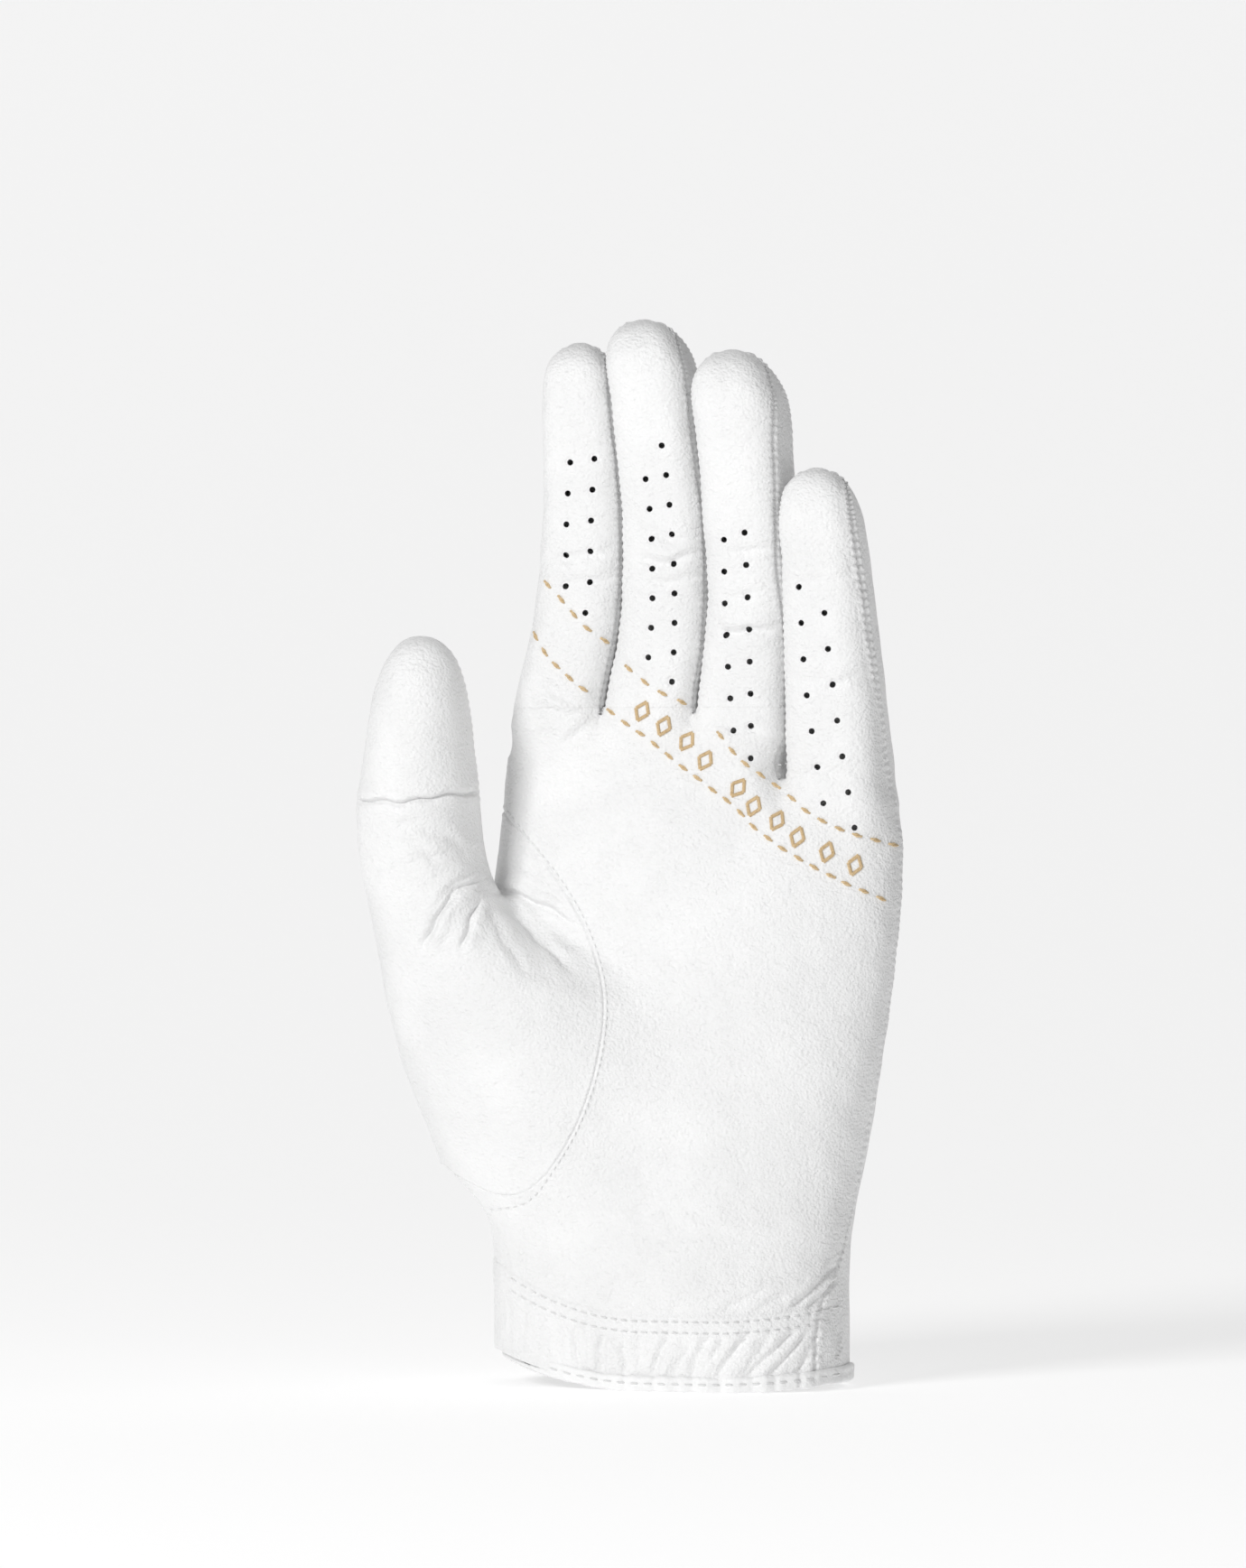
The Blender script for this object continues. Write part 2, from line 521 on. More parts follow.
def gathers(p, q):
    """The cuff's elastic draws the leather into upright and slanting folds on the palm side."""
    total = np.zeros(len(p))
    near = (q[:, 1] < 36) & (p[:, 1] < 3)
    flat = q[near]
    drawn = np.zeros(len(flat))
    for line, width, depth in CUFF_FOLDS:
        drawn += crease(flat, line, width, depth, 0.55, 0.22)
    # finer puckers between them
    fine = smooth_step(flat[:, 1], 2.0, 5.0) * (1 - smooth_step(flat[:, 1], 9.5, 12.0))
    slant = flat[:, 0] - np.interp(flat[:, 0], [-5, 35], [0.0, 0.9]) * flat[:, 1]
    slow = 0.07 * np.sin(slant * 2.3 + 0.8 * np.sin(flat[:, 1] * 0.5))
    drawn += fine * (slow + 0.05 * np.sin(slant * 4.1 + 1.0))
    total[near] = drawn * smooth_step(-p[near, 1], -2.0, 4.0)
    return total


def holes():
    """Centres of the air holes on the seen side: two columns up each finger."""
    columns = [
        ((-12.6, 193.2), (-13.6, 167.4), 5, -0.3), ((-7.5, 193.9), (-8.5, 168.2), 5, -0.2),
        ((3.1, 189.4), (3.7, 152.4), 7, 1.3), ((6.5, 196.3), (8.7, 147.3), 9, 1.4),
        ((19.4, 176.6), (21.3, 137.2), 7, -0.5), ((23.6, 178.0), (25.1, 131.4), 8, 0.3),
        ((34.6, 166.6), (39.9, 122.0), 7, -0.8), ((39.9, 161.2), (46.4, 116.9), 7, -0.5),
    ]
    found = [(-9.4, 161.8)]
    for (x0, z0), (x1, z1), count, bow in columns:
        for i in range(count):
            t = i / (count - 1)
            found.append((x0 + t * (x1 - x0) + 4 * bow * t * (1 - t), z0 + t * (z1 - z0)))
    return np.array(found)


HOLES = holes()
HOLE_R = 0.64


def nearest_hole(q):
    """Distance to the nearest air hole, on the seen side."""
    best = np.full(len(q), 1e9)
    for c in HOLES:
        best = np.minimum(best, np.hypot(q[:, 0] - c[0], q[:, 1] - c[1]))
    return best


def centre_y(p, name):
    """A finger's middle in y, at each point's height."""
    z, (_, cy, _, _) = FINGERS[name][0]
    return np.interp(p[:, 2], z, cy)


def centre_x(p, name):
    """A finger's middle in x, at each point's height."""
    z, (cx, _, _, _) = FINGERS[name][0]
    return np.interp(p[:, 2], z, cx)


def outer_shift(p):
    """The seam on the outer side of the little finger lies towards the palm."""
    return 5.2 * smooth_step(p[:, 2], 116.0, 160.0)


def back_seam_main(p):
    """Positive on the back of the hand."""
    plain = 0.5 * (1 - smooth_step(p[:, 2], 118, 142)) - 0.25 * np.sin(p[:, 2] * 0.09)
    outer = np.interp(p[:, 2], [5, 14, 17, 22, 28, 38], [-9.6, -8.6, -7.4, -4.4, -1.6, 0.4]) - outer_shift(p)
    return p[:, 1] - np.where(p[:, 0] > 10.0, np.minimum(plain, outer), plain)


def thumb_part(p):
    """Positive on the thumb's own leather."""
    q = screen(p)
    d, _, hand, _ = along_line(q, THUMB_SEAM)
    front = np.where(hand > 0, -d, d)          # the seam runs downwards, so the thumb lies on its right
    left = np.minimum(front, 2.0 - p[:, 1])
    both = column(p, PALM, HAND_POWER) - column(p, THUMB, THUMB_POWER, THUMB_CAP)
    behind = np.minimum(both, p[:, 1] + 4.0)
    high = np.minimum(both, p[:, 2] - 100.0)
    return np.maximum(np.maximum(left, behind), high)


def behind_thumb_seam(p):
    """Positive behind the seam up the sides of the thumb."""
    z, (_, cy, _, _) = THUMB
    return p[:, 1] - np.interp(p[:, 2], z, cy) - THUMB_SEAM_BACK


def slit_edge(p):
    """Distance out from the slit's edge, along x."""
    return np.abs(p[:, 0] - SLIT_X) - np.interp(p[:, 2], *SLIT_FORM)


def slit_field(p):
    """Positive inside the opening on the back of the wrist."""
    return np.minimum(-slit_edge(p), p[:, 1] - BACK_Y)


VIEW = np.array([SIN, -COS, 0.0])   # from the glove towards the camera


# ---------------------------------------------------------------- skin meshes
ROW_START, ROW_END = -24.4, 43.0 # how far the cuff's rows of stitches reach, across the seen side
CUFF_PITCH = 2.1                 # and the spacing of their stitches


def normals_from(field, p):
    """Outward normals of a field."""
    g = gradient(field, p)
    return g / np.maximum(np.linalg.norm(g, axis=1, keepdims=True), 1e-9)


def relief(p, n, seams, wrinkled=True):
    """How far the leather stands off the plain form at each point."""
    q = screen(p)
    seen = smooth_step(n @ VIEW, -0.1, 0.35)
    out = 0.16 * noise(p, 17.0, 3) + 0.07 * noise(p, 7.0, 5)
    for line, width, depth, bulge, *fade in FOLDS if wrinkled else []:
        box = np.array(line)
        near = (q[:, 0] > box[:, 0].min() - 6) & (q[:, 0] < box[:, 0].max() + 6) \
            & (q[:, 1] > box[:, 1].min() - 6) & (q[:, 1] < box[:, 1].max() + 6) & (seen > 0)
        if near.any():
            wobble = np.stack([0.25 * np.sin(q[near, 1] * 1.1), 0.25 * np.sin(q[near, 0] * 0.9 + 1)], -1)
            out[near] += seen[near] * crease(q[near] + wobble, line, width, depth, bulge, *fade)
    for distance, along, depth, width, pitch in seams:
        beat = np.sin(2 * np.pi * along / pitch)
        ridge = 0.36 * groove(distance - 1.7 * width, 1.1 * width) * (1 + 0.6 * beat)
        pit = 0.30 * groove(distance, 1.5 * width) * (0.5 - 0.5 * beat)**3
        out += depth * (ridge - groove(distance, 0.6 * width) - pit)
    hole = nearest_hole(q)
    out -= 0.16 * groove(np.maximum(hole - HOLE_R, 0), 0.45) * seen
    return out


def nearest_seam(seams_of, p):
    """Distance to the nearest seam."""
    return np.min([distance for distance, *_ in seams_of(p)], axis=0)


def shape_skin(field, low, high, step, cuts, seams_of, extra=None, near_seam=1.3):
    """Meshes a field, cuts it along every line and presses the seams, folds and holes in."""
    p, quads = surface_net(field, low, high, step)
    p = settle(field, p, 2)
    tris = triangles(p, quads)
    p, tris, _ = refine(p, tris, nearest_seam(seams_of, p[tris].mean(1)) < near_seam, [])
    fold = np.full(len(tris), 1e9)
    centre = p[tris].mean(1)
    q = screen(centre)
    for line, width, *_ in FOLDS:
        ends = np.array(line)
        near = np.flatnonzero((np.abs(q - ends.mean(0)) < np.ptp(ends, axis=0) / 2 + 3).all(1))
        if len(near):
            reach = along_line(q[near], smooth_line(line))[0] / (0.7 + 0.8 * width)
            fold[near] = np.minimum(fold[near], reach)
    low_cuff = (centre[:, 2] < 26) & (centre[:, 1] < 3)
    p, tris, _ = refine(p, tris, (fold < 1.4) | low_cuff, [])
    centre = p[tris].mean(1)
    seam = nearest_seam(seams_of, centre)
    sharp = np.full(len(centre), 1e9)
    q = screen(centre)
    for line, width, *_ in FOLDS:
        if width < 0.7:
            sharp = np.minimum(sharp, along_line(q, smooth_line(line))[0])
    p, tris, _ = refine(p, tris, (seam < 0.75) | ((sharp < 0.9) & (centre[:, 1] < 0)), [])
    for reach in (1.7, 1.1):
        centre = p[tris].mean(1)
        flat = np.cross(p[tris[:, 1]] - p[tris[:, 0]], p[tris[:, 2]] - p[tris[:, 0]])
        chosen = (nearest_hole(screen(centre)) < reach) & (flat @ VIEW > 0)
        p, tris, _ = refine(p, tris, chosen, [])
    p = settle(field, p, 1)
    for cut, keep in cuts:
        p, tris, _, side = split(p, tris, cut(p), [])
        if keep:
            tris = tris[side * keep > 0]
    n = normals_from(field, p)
    seen = n @ VIEW
    hole = np.where(seen > 0.15, HOLE_R - nearest_hole(screen(p)), -1.0)
    p, tris, (n,), side = split(p, tris, hole, [n], snap=0.02)
    pierced = side > 0
    out = relief(p, n, seams_of(p))
    if extra is not None:
        out += extra(p, screen(p), n)
    p = p + out[:, None] * n
    used, tris = np.unique(tris, return_inverse=True)
    p, tris = p[used], tris.reshape(-1, 3)
    return p, tris, normals_of(p, tris), pierced


def main_cuts():
    """The hand's cuts, each with the side to keep: 1 or -1, or 0 to keep both."""
    def thumbness(p):
        return column(p, PALM, HAND_POWER) - column(p, THUMB, THUMB_POWER, THUMB_CAP)

    def top(p):
        return np.maximum(CUT_Z["index"] - p[:, 2], thumbness(p))

    def little(p):
        return np.maximum(CUT_Z["little"] - p[:, 2], finger_field(p, "little") - finger_field(p, "ring"))

    def web(p):
        return STRIP_HALF - np.abs(p[:, 1]) - 50 * (p[:, 2] < 112)

    def tip(p):
        return np.minimum(p[:, 2] - THUMB_CUT_Z, thumbness(p))

    def tip_seam(p):
        return np.where(p[:, 2] > THUMB_CUT_Z - 3, behind_thumb_seam(p), -9.0)

    return [(lambda p: p[:, 2] - RIM_Z, 1), (top, 1), (little, 1), (back_seam_main, 0), (thumb_part, 0),
            (lambda p: p[:, 2] - CUFF_Z, 0), (web, 0), (tip, 0), (tip_seam, 0), (slit_field, -1)]


def in_web(p):
    """Which finger gap a point's side strip belongs to: 0, 1 or 2, or -1."""
    x = p[:, 0]
    centre = {name: centre_x(p, name) for name in FINGERS}
    gap = np.full(len(p), -1)
    ok = (np.abs(p[:, 1]) < STRIP_HALF)
    gap[ok & (p[:, 2] > 132) & (x > centre["index"]) & (x < centre["middle"])] = 0
    gap[ok & (p[:, 2] > 132) & (x >= centre["middle"]) & (x < centre["ring"])] = 1
    gap[ok & (p[:, 2] > 118) & (x >= centre["ring"]) & (x < centre["little"])] = 2
    return gap


def main_seams(p):
    """Each seam of the hand: distance, length along it, depth, width and stitch pitch."""
    q = screen(p)
    x, y, z = p.T
    far = 1e3
    outer = (x < centre_x(p, "index") + 2) | (x > centre_x(p, "little") - 2) | (z < 112)
    thumb = thumb_part(p)
    low_thumb = (z < THUMB_CUT_Z - 0.5)
    side = np.where(outer & (thumb < -0.5), np.abs(back_seam_main(p)), far)
    web_d = np.where((z > 132) & ~outer | (z > 118) & (x > centre_x(p, "ring")) & (x < centre_x(p, "little")),
                     np.abs(np.abs(y) - STRIP_HALF), far)
    d, run, _, _ = along_line(q, THUMB_SEAM)
    thumb_d = np.where(low_thumb, np.where(y < 1.5, d, np.abs(thumb)), far)
    thumb_d = np.where((y < 1.5) & (x > -60), thumb_d, np.where(low_thumb & (y >= 1.5), np.abs(thumb), far))
    tip_d = np.where((z > THUMB_CUT_Z) & (x < -24), np.abs(behind_thumb_seam(p)), far)
    cuff = np.where(back_seam_main(p) < 0, np.abs(z - CUFF_Z), far)
    return [(side, z, 0.40, 0.6, 1.7), (web_d, z, 0.35, 0.6, 1.7), (thumb_d, run, 0.24, 0.30, 1.65),
            (tip_d, z, 0.35, 0.6, 1.7), (cuff, q[:, 0], 0.0, 0.6, CUFF_PITCH)]


def cuff_relief(p, q, n):
    """The sewn-down double edge of the cuff seam, and the elastic's gathers."""
    z = p[:, 2]
    front = smooth_step(-back_seam_main(p), -0.3, 0.3)
    below, above = smooth_step(z, CUFF_Z - 2.5, CUFF_Z - 1.9), smooth_step(-z, -CUFF_Z - 2.6, -CUFF_Z - 1.8)
    band = 0.30 * above * below * front
    beat = 0.75 - 0.25 * np.cos(2 * np.pi * (q[:, 0] - ROW_START) / CUFF_PITCH)
    rows = np.zeros(len(p))
    for row in CUFF_ROWS:
        rows -= 0.22 * groove(z - row, 0.5) * beat * front
    return gathers(p, q) + band + rows


STRIPS = {"index": {"ulnar": 1}, "middle": {"radial": -1, "ulnar": 1}, "ring": {"radial": -1, "ulnar": 1},
          "little": {"radial": -1}}


def strip_half(p, name):
    """Half the height of the side strip at each point of a finger; nothing where a side has none."""
    start, height, _ = FINGERS[name][1]
    rise = np.clip((p[:, 2] - start + 2.0) / (height - 1.0), 0, 1)
    half = STRIP_HALF * np.sqrt(np.maximum(1 - rise**2.5, 0))
    u = p[:, 0] - centre_x(p, name)
    sides = STRIPS[name].values()
    mask = np.ones(len(p))
    if 1 not in sides:
        mask = smooth_step(-u, -0.5, 1.5)
    if -1 not in sides:
        mask = smooth_step(u, -0.5, 1.5)
    return half * mask


def side_height(p, name):
    """Height above the middle of a finger's side, towards the back.

    The seams on the outer sides of the ring and little fingers lie nearer the palm.
    """
    v = p[:, 1] - centre_y(p, name)
    if name == "little":
        start, height, _ = FINGERS[name][1]
        taper = np.sqrt(np.maximum(1 - np.clip((p[:, 2] - start + 2.0) / (height - 1.0), 0, 1)**2.5, 0))
        v = v + outer_shift(p) * taper * smooth_step(p[:, 0] - centre_x(p, name), 0.0, 3.0)
    if name == "ring":
        inward = smooth_step(p[:, 2], 148.0, 172.0) * smooth_step(-p[:, 2], -211.0, -196.0)
        v = v + 2.0 * inward * smooth_step(p[:, 0] - centre_x(p, name), 0.0, 3.0)
    return v


def finger_cuts(name):
    """A finger's cuts: at its root, and along its two seams."""
    return [(lambda p: p[:, 2] - CUT_Z[name], 1),
            (lambda p: side_height(p, name) + strip_half(p, name), 0),
            (lambda p: side_height(p, name) - strip_half(p, name), 0)]


def finger_seams(name):
    """The seams of one finger, as main_seams gives them."""
    def seams(p):
        v, half = side_height(p, name), strip_half(p, name)
        start = FINGERS[name][1][0]
        run = p[:, 2] + 0.7 * np.maximum(0, p[:, 2] - start)
        wide = np.abs(p[:, 0] - centre_x(p, name)) > 2.0
        ok = wide | (p[:, 2] > start)
        return [(np.where(ok, np.abs(v + half), 1e3), run, 0.40, 0.6, 1.7),
                (np.where(ok, np.abs(v - half), 1e3), run, 0.40, 0.6, 1.7)]
    return seams


# ---------------------------------------------------------------- Blender objects
def world(p):
    """Model millimetres as metres in the frame."""
    return (np.asarray(p) + SHIFT) / 1000.0


def make_object(name, points, faces, material, normals=None):
    """A mesh object in the row frame, from points in model millimetres."""
    mesh = bpy.data.meshes.new(name)
    points = world(points).astype(np.float32)
    faces = np.asarray(faces, np.int32)
    corners = faces.shape[1]
    mesh.vertices.add(len(points))
    mesh.vertices.foreach_set("co", points.ravel())
    mesh.loops.add(len(faces) * corners)
    mesh.loops.foreach_set("vertex_index", faces.ravel())
    mesh.polygons.add(len(faces))
    mesh.polygons.foreach_set("loop_start", np.arange(len(faces), dtype=np.int32) * corners)
    mesh.polygons.foreach_set("use_smooth", np.full(len(faces), True))
    mesh.update(calc_edges=True)
    mesh.validate()
    if normals is not None:
        mesh.normals_split_custom_set_from_vertices(normals.astype(np.float32).tolist())
    obj = bpy.data.objects.new(name, mesh)
    bpy.context.scene.collection.objects.link(obj)
    obj.data.materials.append(material)
    return obj


def thick_panel(points, tris, normals, thick):
    """A closed leather panel, as points, faces and normals: its outer and inner faces and its cut edges."""
    used, t = np.unique(tris, return_inverse=True)
    t = t.reshape(-1, 3)
    p, n = points[used], normals[used]
    count = len(p)
    directed = np.concatenate([t[:, [0, 1]], t[:, [1, 2]], t[:, [2, 0]]])
    key = directed[:, 0] * np.int64(count) + directed[:, 1]
    back = directed[:, 1] * np.int64(count) + directed[:, 0]
    rim = directed[~np.isin(key, back)]
    a, b = rim[:, 0], rim[:, 1]
    walls = np.concatenate([np.stack([b, a, a + count], -1), np.stack([b, a + count, b + count], -1)])
    faces = np.concatenate([t, t[:, ::-1] + count, walls])
    return np.concatenate([p, p - thick * n]), faces, np.concatenate([n, -n])


# ---------------------------------------------------------------- materials
def nodes_of(name):
    """A new node material, its tree and its shader."""
    material = bpy.data.materials.new(name)
    material.use_nodes = True
    tree = material.node_tree
    shader = tree.nodes["Principled BSDF"]
    return material, tree, shader


def link(tree, a, b):
    """Joins two sockets."""
    tree.links.new(a, b)


def texture(tree, kind, scale, coordinates, **settings):
    """A texture node on some coordinates."""
    node = tree.nodes.new(kind)
    link(tree, coordinates, node.inputs["Vector"])
    node.inputs["Scale"].default_value = scale
    for key, value in settings.items():
        node.inputs[key].default_value = value
    return node


def ramp(tree, value, low, high, dark, light):
    """A colour between dark and light, by a value between low and high."""
    node = tree.nodes.new("ShaderNodeValToRGB")
    link(tree, value, node.inputs["Fac"])
    node.color_ramp.elements[0].position, node.color_ramp.elements[1].position = low, high
    node.color_ramp.elements[0].color, node.color_ramp.elements[1].color = (*dark, 1), (*light, 1)
    return node.outputs["Color"]


def bump(tree, height, distance, strength, previous=None):
    """Relief from a height, on top of any earlier relief."""
    node = tree.nodes.new("ShaderNodeBump")
    link(tree, height, node.inputs["Height"])
    node.inputs["Distance"].default_value = distance
    node.inputs["Strength"].default_value = strength
    if previous is not None:
        link(tree, previous, node.inputs["Normal"])
    return node.outputs["Normal"]


def leather(name, dark, light, rough, grain):
    """Soft full-grain leather: fine pores, a crackle of tiny wrinkles and a faintly uneven colour."""
    material, tree, shader = nodes_of(name)
    place = tree.nodes.new("ShaderNodeTexCoord").outputs["Object"]
    cloud = texture(tree, "ShaderNodeTexNoise", 60.0, place, Detail=4.0)
    link(tree, ramp(tree, cloud.outputs["Fac"], 0.3, 0.7, dark, light), shader.inputs["Base Color"])
    worn = texture(tree, "ShaderNodeTexNoise", 220.0, place, Detail=3.0)
    spread = tree.nodes.new("ShaderNodeMapRange")
    link(tree, worn.outputs["Fac"], spread.inputs["Value"])
    spread.inputs["To Min"].default_value, spread.inputs["To Max"].default_value = rough - 0.06, rough + 0.08
    link(tree, spread.outputs["Result"], shader.inputs["Roughness"])
    # tiny wrinkles, a little longer across the glove than along it
    stretch = tree.nodes.new("ShaderNodeMapping")
    stretch.inputs["Scale"].default_value = (0.75, 0.75, 1.25)
    link(tree, place, stretch.inputs["Vector"])
    wrinkled = stretch.outputs["Vector"]
    pores = texture(tree, "ShaderNodeTexVoronoi", 1700.0, place)
    crackle = texture(tree, "ShaderNodeTexVoronoi", 780.0, wrinkled)
    crackle.feature = "DISTANCE_TO_EDGE"
    fine = texture(tree, "ShaderNodeTexNoise", 1000.0, wrinkled, Detail=4.0, Distortion=1.2)
    broad = texture(tree, "ShaderNodeTexNoise", 260.0, wrinkled, Detail=3.0, Distortion=1.6)
    normal = bump(tree, pores.outputs["Distance"], 0.00024, 0.60 * grain)
    normal = bump(tree, crackle.outputs["Distance"], 0.00030, 0.55 * grain, normal)
    normal = bump(tree, fine.outputs["Fac"], 0.00045, 0.32 * grain, normal)
    normal = bump(tree, broad.outputs["Fac"], 0.00090, 0.24 * grain, normal)
    link(tree, normal, shader.inputs["Normal"])
    shader.inputs["Sheen Weight"].default_value = 0.08
    shader.inputs["Sheen Roughness"].default_value = 0.5
    shader.inputs["Specular IOR Level"].default_value = 0.4
    return material


def thread(name, dark, light, rough, twist):
    """Twisted thread: slanting plies that show in colour and relief."""
    material, tree, shader = nodes_of(name)
    place = tree.nodes.new("ShaderNodeTexCoord").outputs["Object"]
    fibre = texture(tree, "ShaderNodeTexWave", twist, place, Distortion=2.5, Detail=2.0)
    fibre.bands_direction = "DIAGONAL"
    fuzz = texture(tree, "ShaderNodeTexNoise", 2600.0, place, Detail=3.0)
    mix = tree.nodes.new("ShaderNodeMath")
    mix.operation = "MULTIPLY_ADD"
    link(tree, fibre.outputs["Fac"], mix.inputs[0])
    mix.inputs[1].default_value = 0.6
    link(tree, fuzz.outputs["Fac"], mix.inputs[2])
    link(tree, ramp(tree, mix.outputs[0], 0.25, 1.15, dark, light), shader.inputs["Base Color"])
    link(tree, bump(tree, mix.outputs[0], 0.00012, 0.6), shader.inputs["Normal"])
    shader.inputs["Roughness"].default_value = rough
    shader.inputs["Sheen Weight"].default_value = 0.15
    shader.inputs["Specular IOR Level"].default_value = 0.45
    return material


def weave(name, dark, light, size, rough):
    """A woven or looped fabric: two crossing sets of ribs."""
    material, tree, shader = nodes_of(name)
    place = tree.nodes.new("ShaderNodeTexCoord").outputs["Object"]
    ribs = texture(tree, "ShaderNodeTexWave", size, place, Distortion=0.8, Detail=1.0)
    ribs.bands_direction = "Z"
    cross = texture(tree, "ShaderNodeTexWave", size, place, Distortion=0.8, Detail=1.0)
    cross.bands_direction = "X"
    both = tree.nodes.new("ShaderNodeMath")
    both.operation = "MULTIPLY"
    link(tree, ribs.outputs["Fac"], both.inputs[0])
    link(tree, cross.outputs["Fac"], both.inputs[1])
    link(tree, ramp(tree, both.outputs[0], 0.0, 0.8, dark, light), shader.inputs["Base Color"])
    link(tree, bump(tree, both.outputs[0], 0.0003, 0.7), shader.inputs["Normal"])
    shader.inputs["Roughness"].default_value = rough
    shader.inputs["Sheen Weight"].default_value = 0.2
    return material


def loops(name, dark, light, size, rough, height):
    """Dense little loops or hooks."""
    material, tree, shader = nodes_of(name)
    place = tree.nodes.new("ShaderNodeTexCoord").outputs["Object"]
    cells = texture(tree, "ShaderNodeTexVoronoi", size, place, Randomness=0.55)
    fuzz = texture(tree, "ShaderNodeTexNoise", size * 2.4, place, Detail=4.0)
    both = tree.nodes.new("ShaderNodeMath")
    both.operation = "SUBTRACT"
    link(tree, fuzz.outputs["Fac"], both.inputs[0])
    link(tree, cells.outputs["Distance"], both.inputs[1])
    link(tree, ramp(tree, both.outputs[0], -0.3, 0.5, dark, light), shader.inputs["Base Color"])
    link(tree, bump(tree, both.outputs[0], height, 0.8), shader.inputs["Normal"])
    shader.inputs["Roughness"].default_value = rough
    return material


def grey(v):
    return (v, v, v)


# one look for each of the record's material slots
LOOKS = {
    "palm_cabretta": leather("palm_look", grey(0.84), grey(0.90), 0.50, 1.0),
    "back_cabretta": leather("back_look", grey(0.84), grey(0.90), 0.52, 1.0),
    "strip_leather": leather("strip_look", grey(0.82), grey(0.88), 0.55, 1.1),
    "binding_leather": leather("binding_look", grey(0.86), grey(0.91), 0.45, 0.5),
    "gold_thread": thread("gold_look", (0.38, 0.22, 0.075), (0.86, 0.66, 0.39), 0.42, 2600.0),
    "white_thread": thread("thread_look", grey(0.74), grey(0.90), 0.5, 3400.0),
    "elastic": weave("elastic_look", grey(0.70), grey(0.88), 900.0, 0.75),
    "loop_fabric": loops("loop_look", grey(0.66), grey(0.88), 1500.0, 0.85, 0.0004),
    "hook_tape": loops("hook_look", grey(0.60), grey(0.86), 900.0, 0.45, 0.0005),
}

# ---------------------------------------------------------------- the leather
SKINS = []          # every outer face, to lay stitches on
FINGER_SKINS = {}   # each finger's own


def panel(node, body, slot, points, tris, normals, thick=0.7, bend=None):
    """One leather panel, as a closed piece that stands for its CAD node."""
    p, faces, n = thick_panel(points, tris, normals, thick)
    return piece(node + "_skin", node, body, slot, p, faces, n, bend)


def piece(name, node, body, slot, points, faces, normals=None, bend=None):
    """A finished piece of the glove, with its look, its body and the CAD node that it stands for."""
    obj = make_object(name, points, faces, LOOKS[slot], normals=normals)
    attach(obj, body, bend)
    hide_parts(node)
    return obj


def attach(obj, body, bend=None):
    """Rides a piece on a body, or bends it from the hand into a finger or the thumb's tip."""
    if bend is None:
        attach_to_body(obj, body)
    else:
        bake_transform(obj)


def leather_of(node):
    """A leather node's material slot."""
    return "back_cabretta" if "back" in node else "palm_cabretta"


HAND_STEP = 0.92                 # the spacing of the hand's mesh
FINGER_STEP = 0.74
p, tris, n, pierced = shape_skin(main_field, (-61, -39, -2), (62, 28, 159), HAND_STEP, main_cuts(),
                                 main_seams, cuff_relief)
p[:, 2] += lift(p)
SKINS.append((p, tris))
flat = p.copy()
flat[:, 2] -= lift(p)
c = flat[tris].mean(1)
on_thumb = column(c, PALM, HAND_POWER) - column(c, THUMB, THUMB_POWER, THUMB_CAP) > 0
behind_thumb = behind_thumb_seam(c) > 0
label = np.full(len(tris), "palm_leather", dtype=object)
label[back_seam_main(c) > 0] = "back_leather"
label[(back_seam_main(c) <= 0) & (c[:, 2] < CUFF_Z)] = "cuff_band"
label[(thumb_part(c) > 0)] = "thumb_base_leather"
gap = in_web(c)
for i, web in enumerate(("index_middle_web", "middle_ring_web", "ring_little_web")):
    label[gap == i] = web
label[(gap == 2) & (c[:, 2] > CUT_Z["little"])] = "ring_root_side"
label[(c[:, 2] > THUMB_CUT_Z) & on_thumb & ~behind_thumb] = "thumb_tip_palm_leather"
label[(c[:, 2] > THUMB_CUT_Z) & on_thumb & behind_thumb] = "thumb_tip_back_leather"
label[pierced] = "hole"
for name in sorted(set(label) - {"hole"}):
    slot = "strip_leather" if "web" in name or name == "ring_root_side" else leather_of(name)
    bend = "thumb" if name.startswith("thumb_tip") else None
    panel(name, "hand", slot, p, tris[label == name], n, bend=bend)

for name in FINGERS:
    form, cap, base = FINGERS[name]
    top = cap[0] + cap[1]
    z, (cx, _, _, _) = form
    xs = np.interp([base, base + 20, base + 40, top], z, cx)
    fp, ft, fn, pierced = shape_skin(
        one_finger(name), (xs.min() - 13, -26, CUT_Z[name] - 2.5), (xs.max() + 13, 15, top + 2), FINGER_STEP,
        finger_cuts(name), finger_seams(name))
    SKINS.append((fp, ft))
    FINGER_SKINS[name] = (fp, ft)
    c = fp[ft].mean(1)
    v, half = side_height(c, name), strip_half(c, name)
    label = np.full(len(ft), f"{name}_palm_leather", dtype=object)
    label[v > half] = f"{name}_back_leather"
    for side, sign in STRIPS[name].items():
        label[(np.abs(v) < half) & (sign * (c[:, 0] - centre_x(c, name)) > 0)] = f"{name}_{side}_fourchette"
    label[pierced] = "hole"
    for part in sorted(set(label) - {"hole"}):
        slot = "strip_leather" if "fourchette" in part else leather_of(part)
        panel(part, f"{name}_finger", slot, fp, ft[label == part], fn, bend=name)


# ---------------------------------------------------------------- trims and the closure
def off_form(p):
    """Distance out from the hand's plain form."""
    h = 0.05
    f = column(p, PALM, HAND_POWER)
    gx = column(p + (h, 0, 0), PALM, HAND_POWER) - column(p - (h, 0, 0), PALM, HAND_POWER)
    gy = column(p + (0, h, 0), PALM, HAND_POWER) - column(p - (0, h, 0), PALM, HAND_POWER)
    return f * 2 * h / np.maximum(np.hypot(gx, gy), 1e-4)


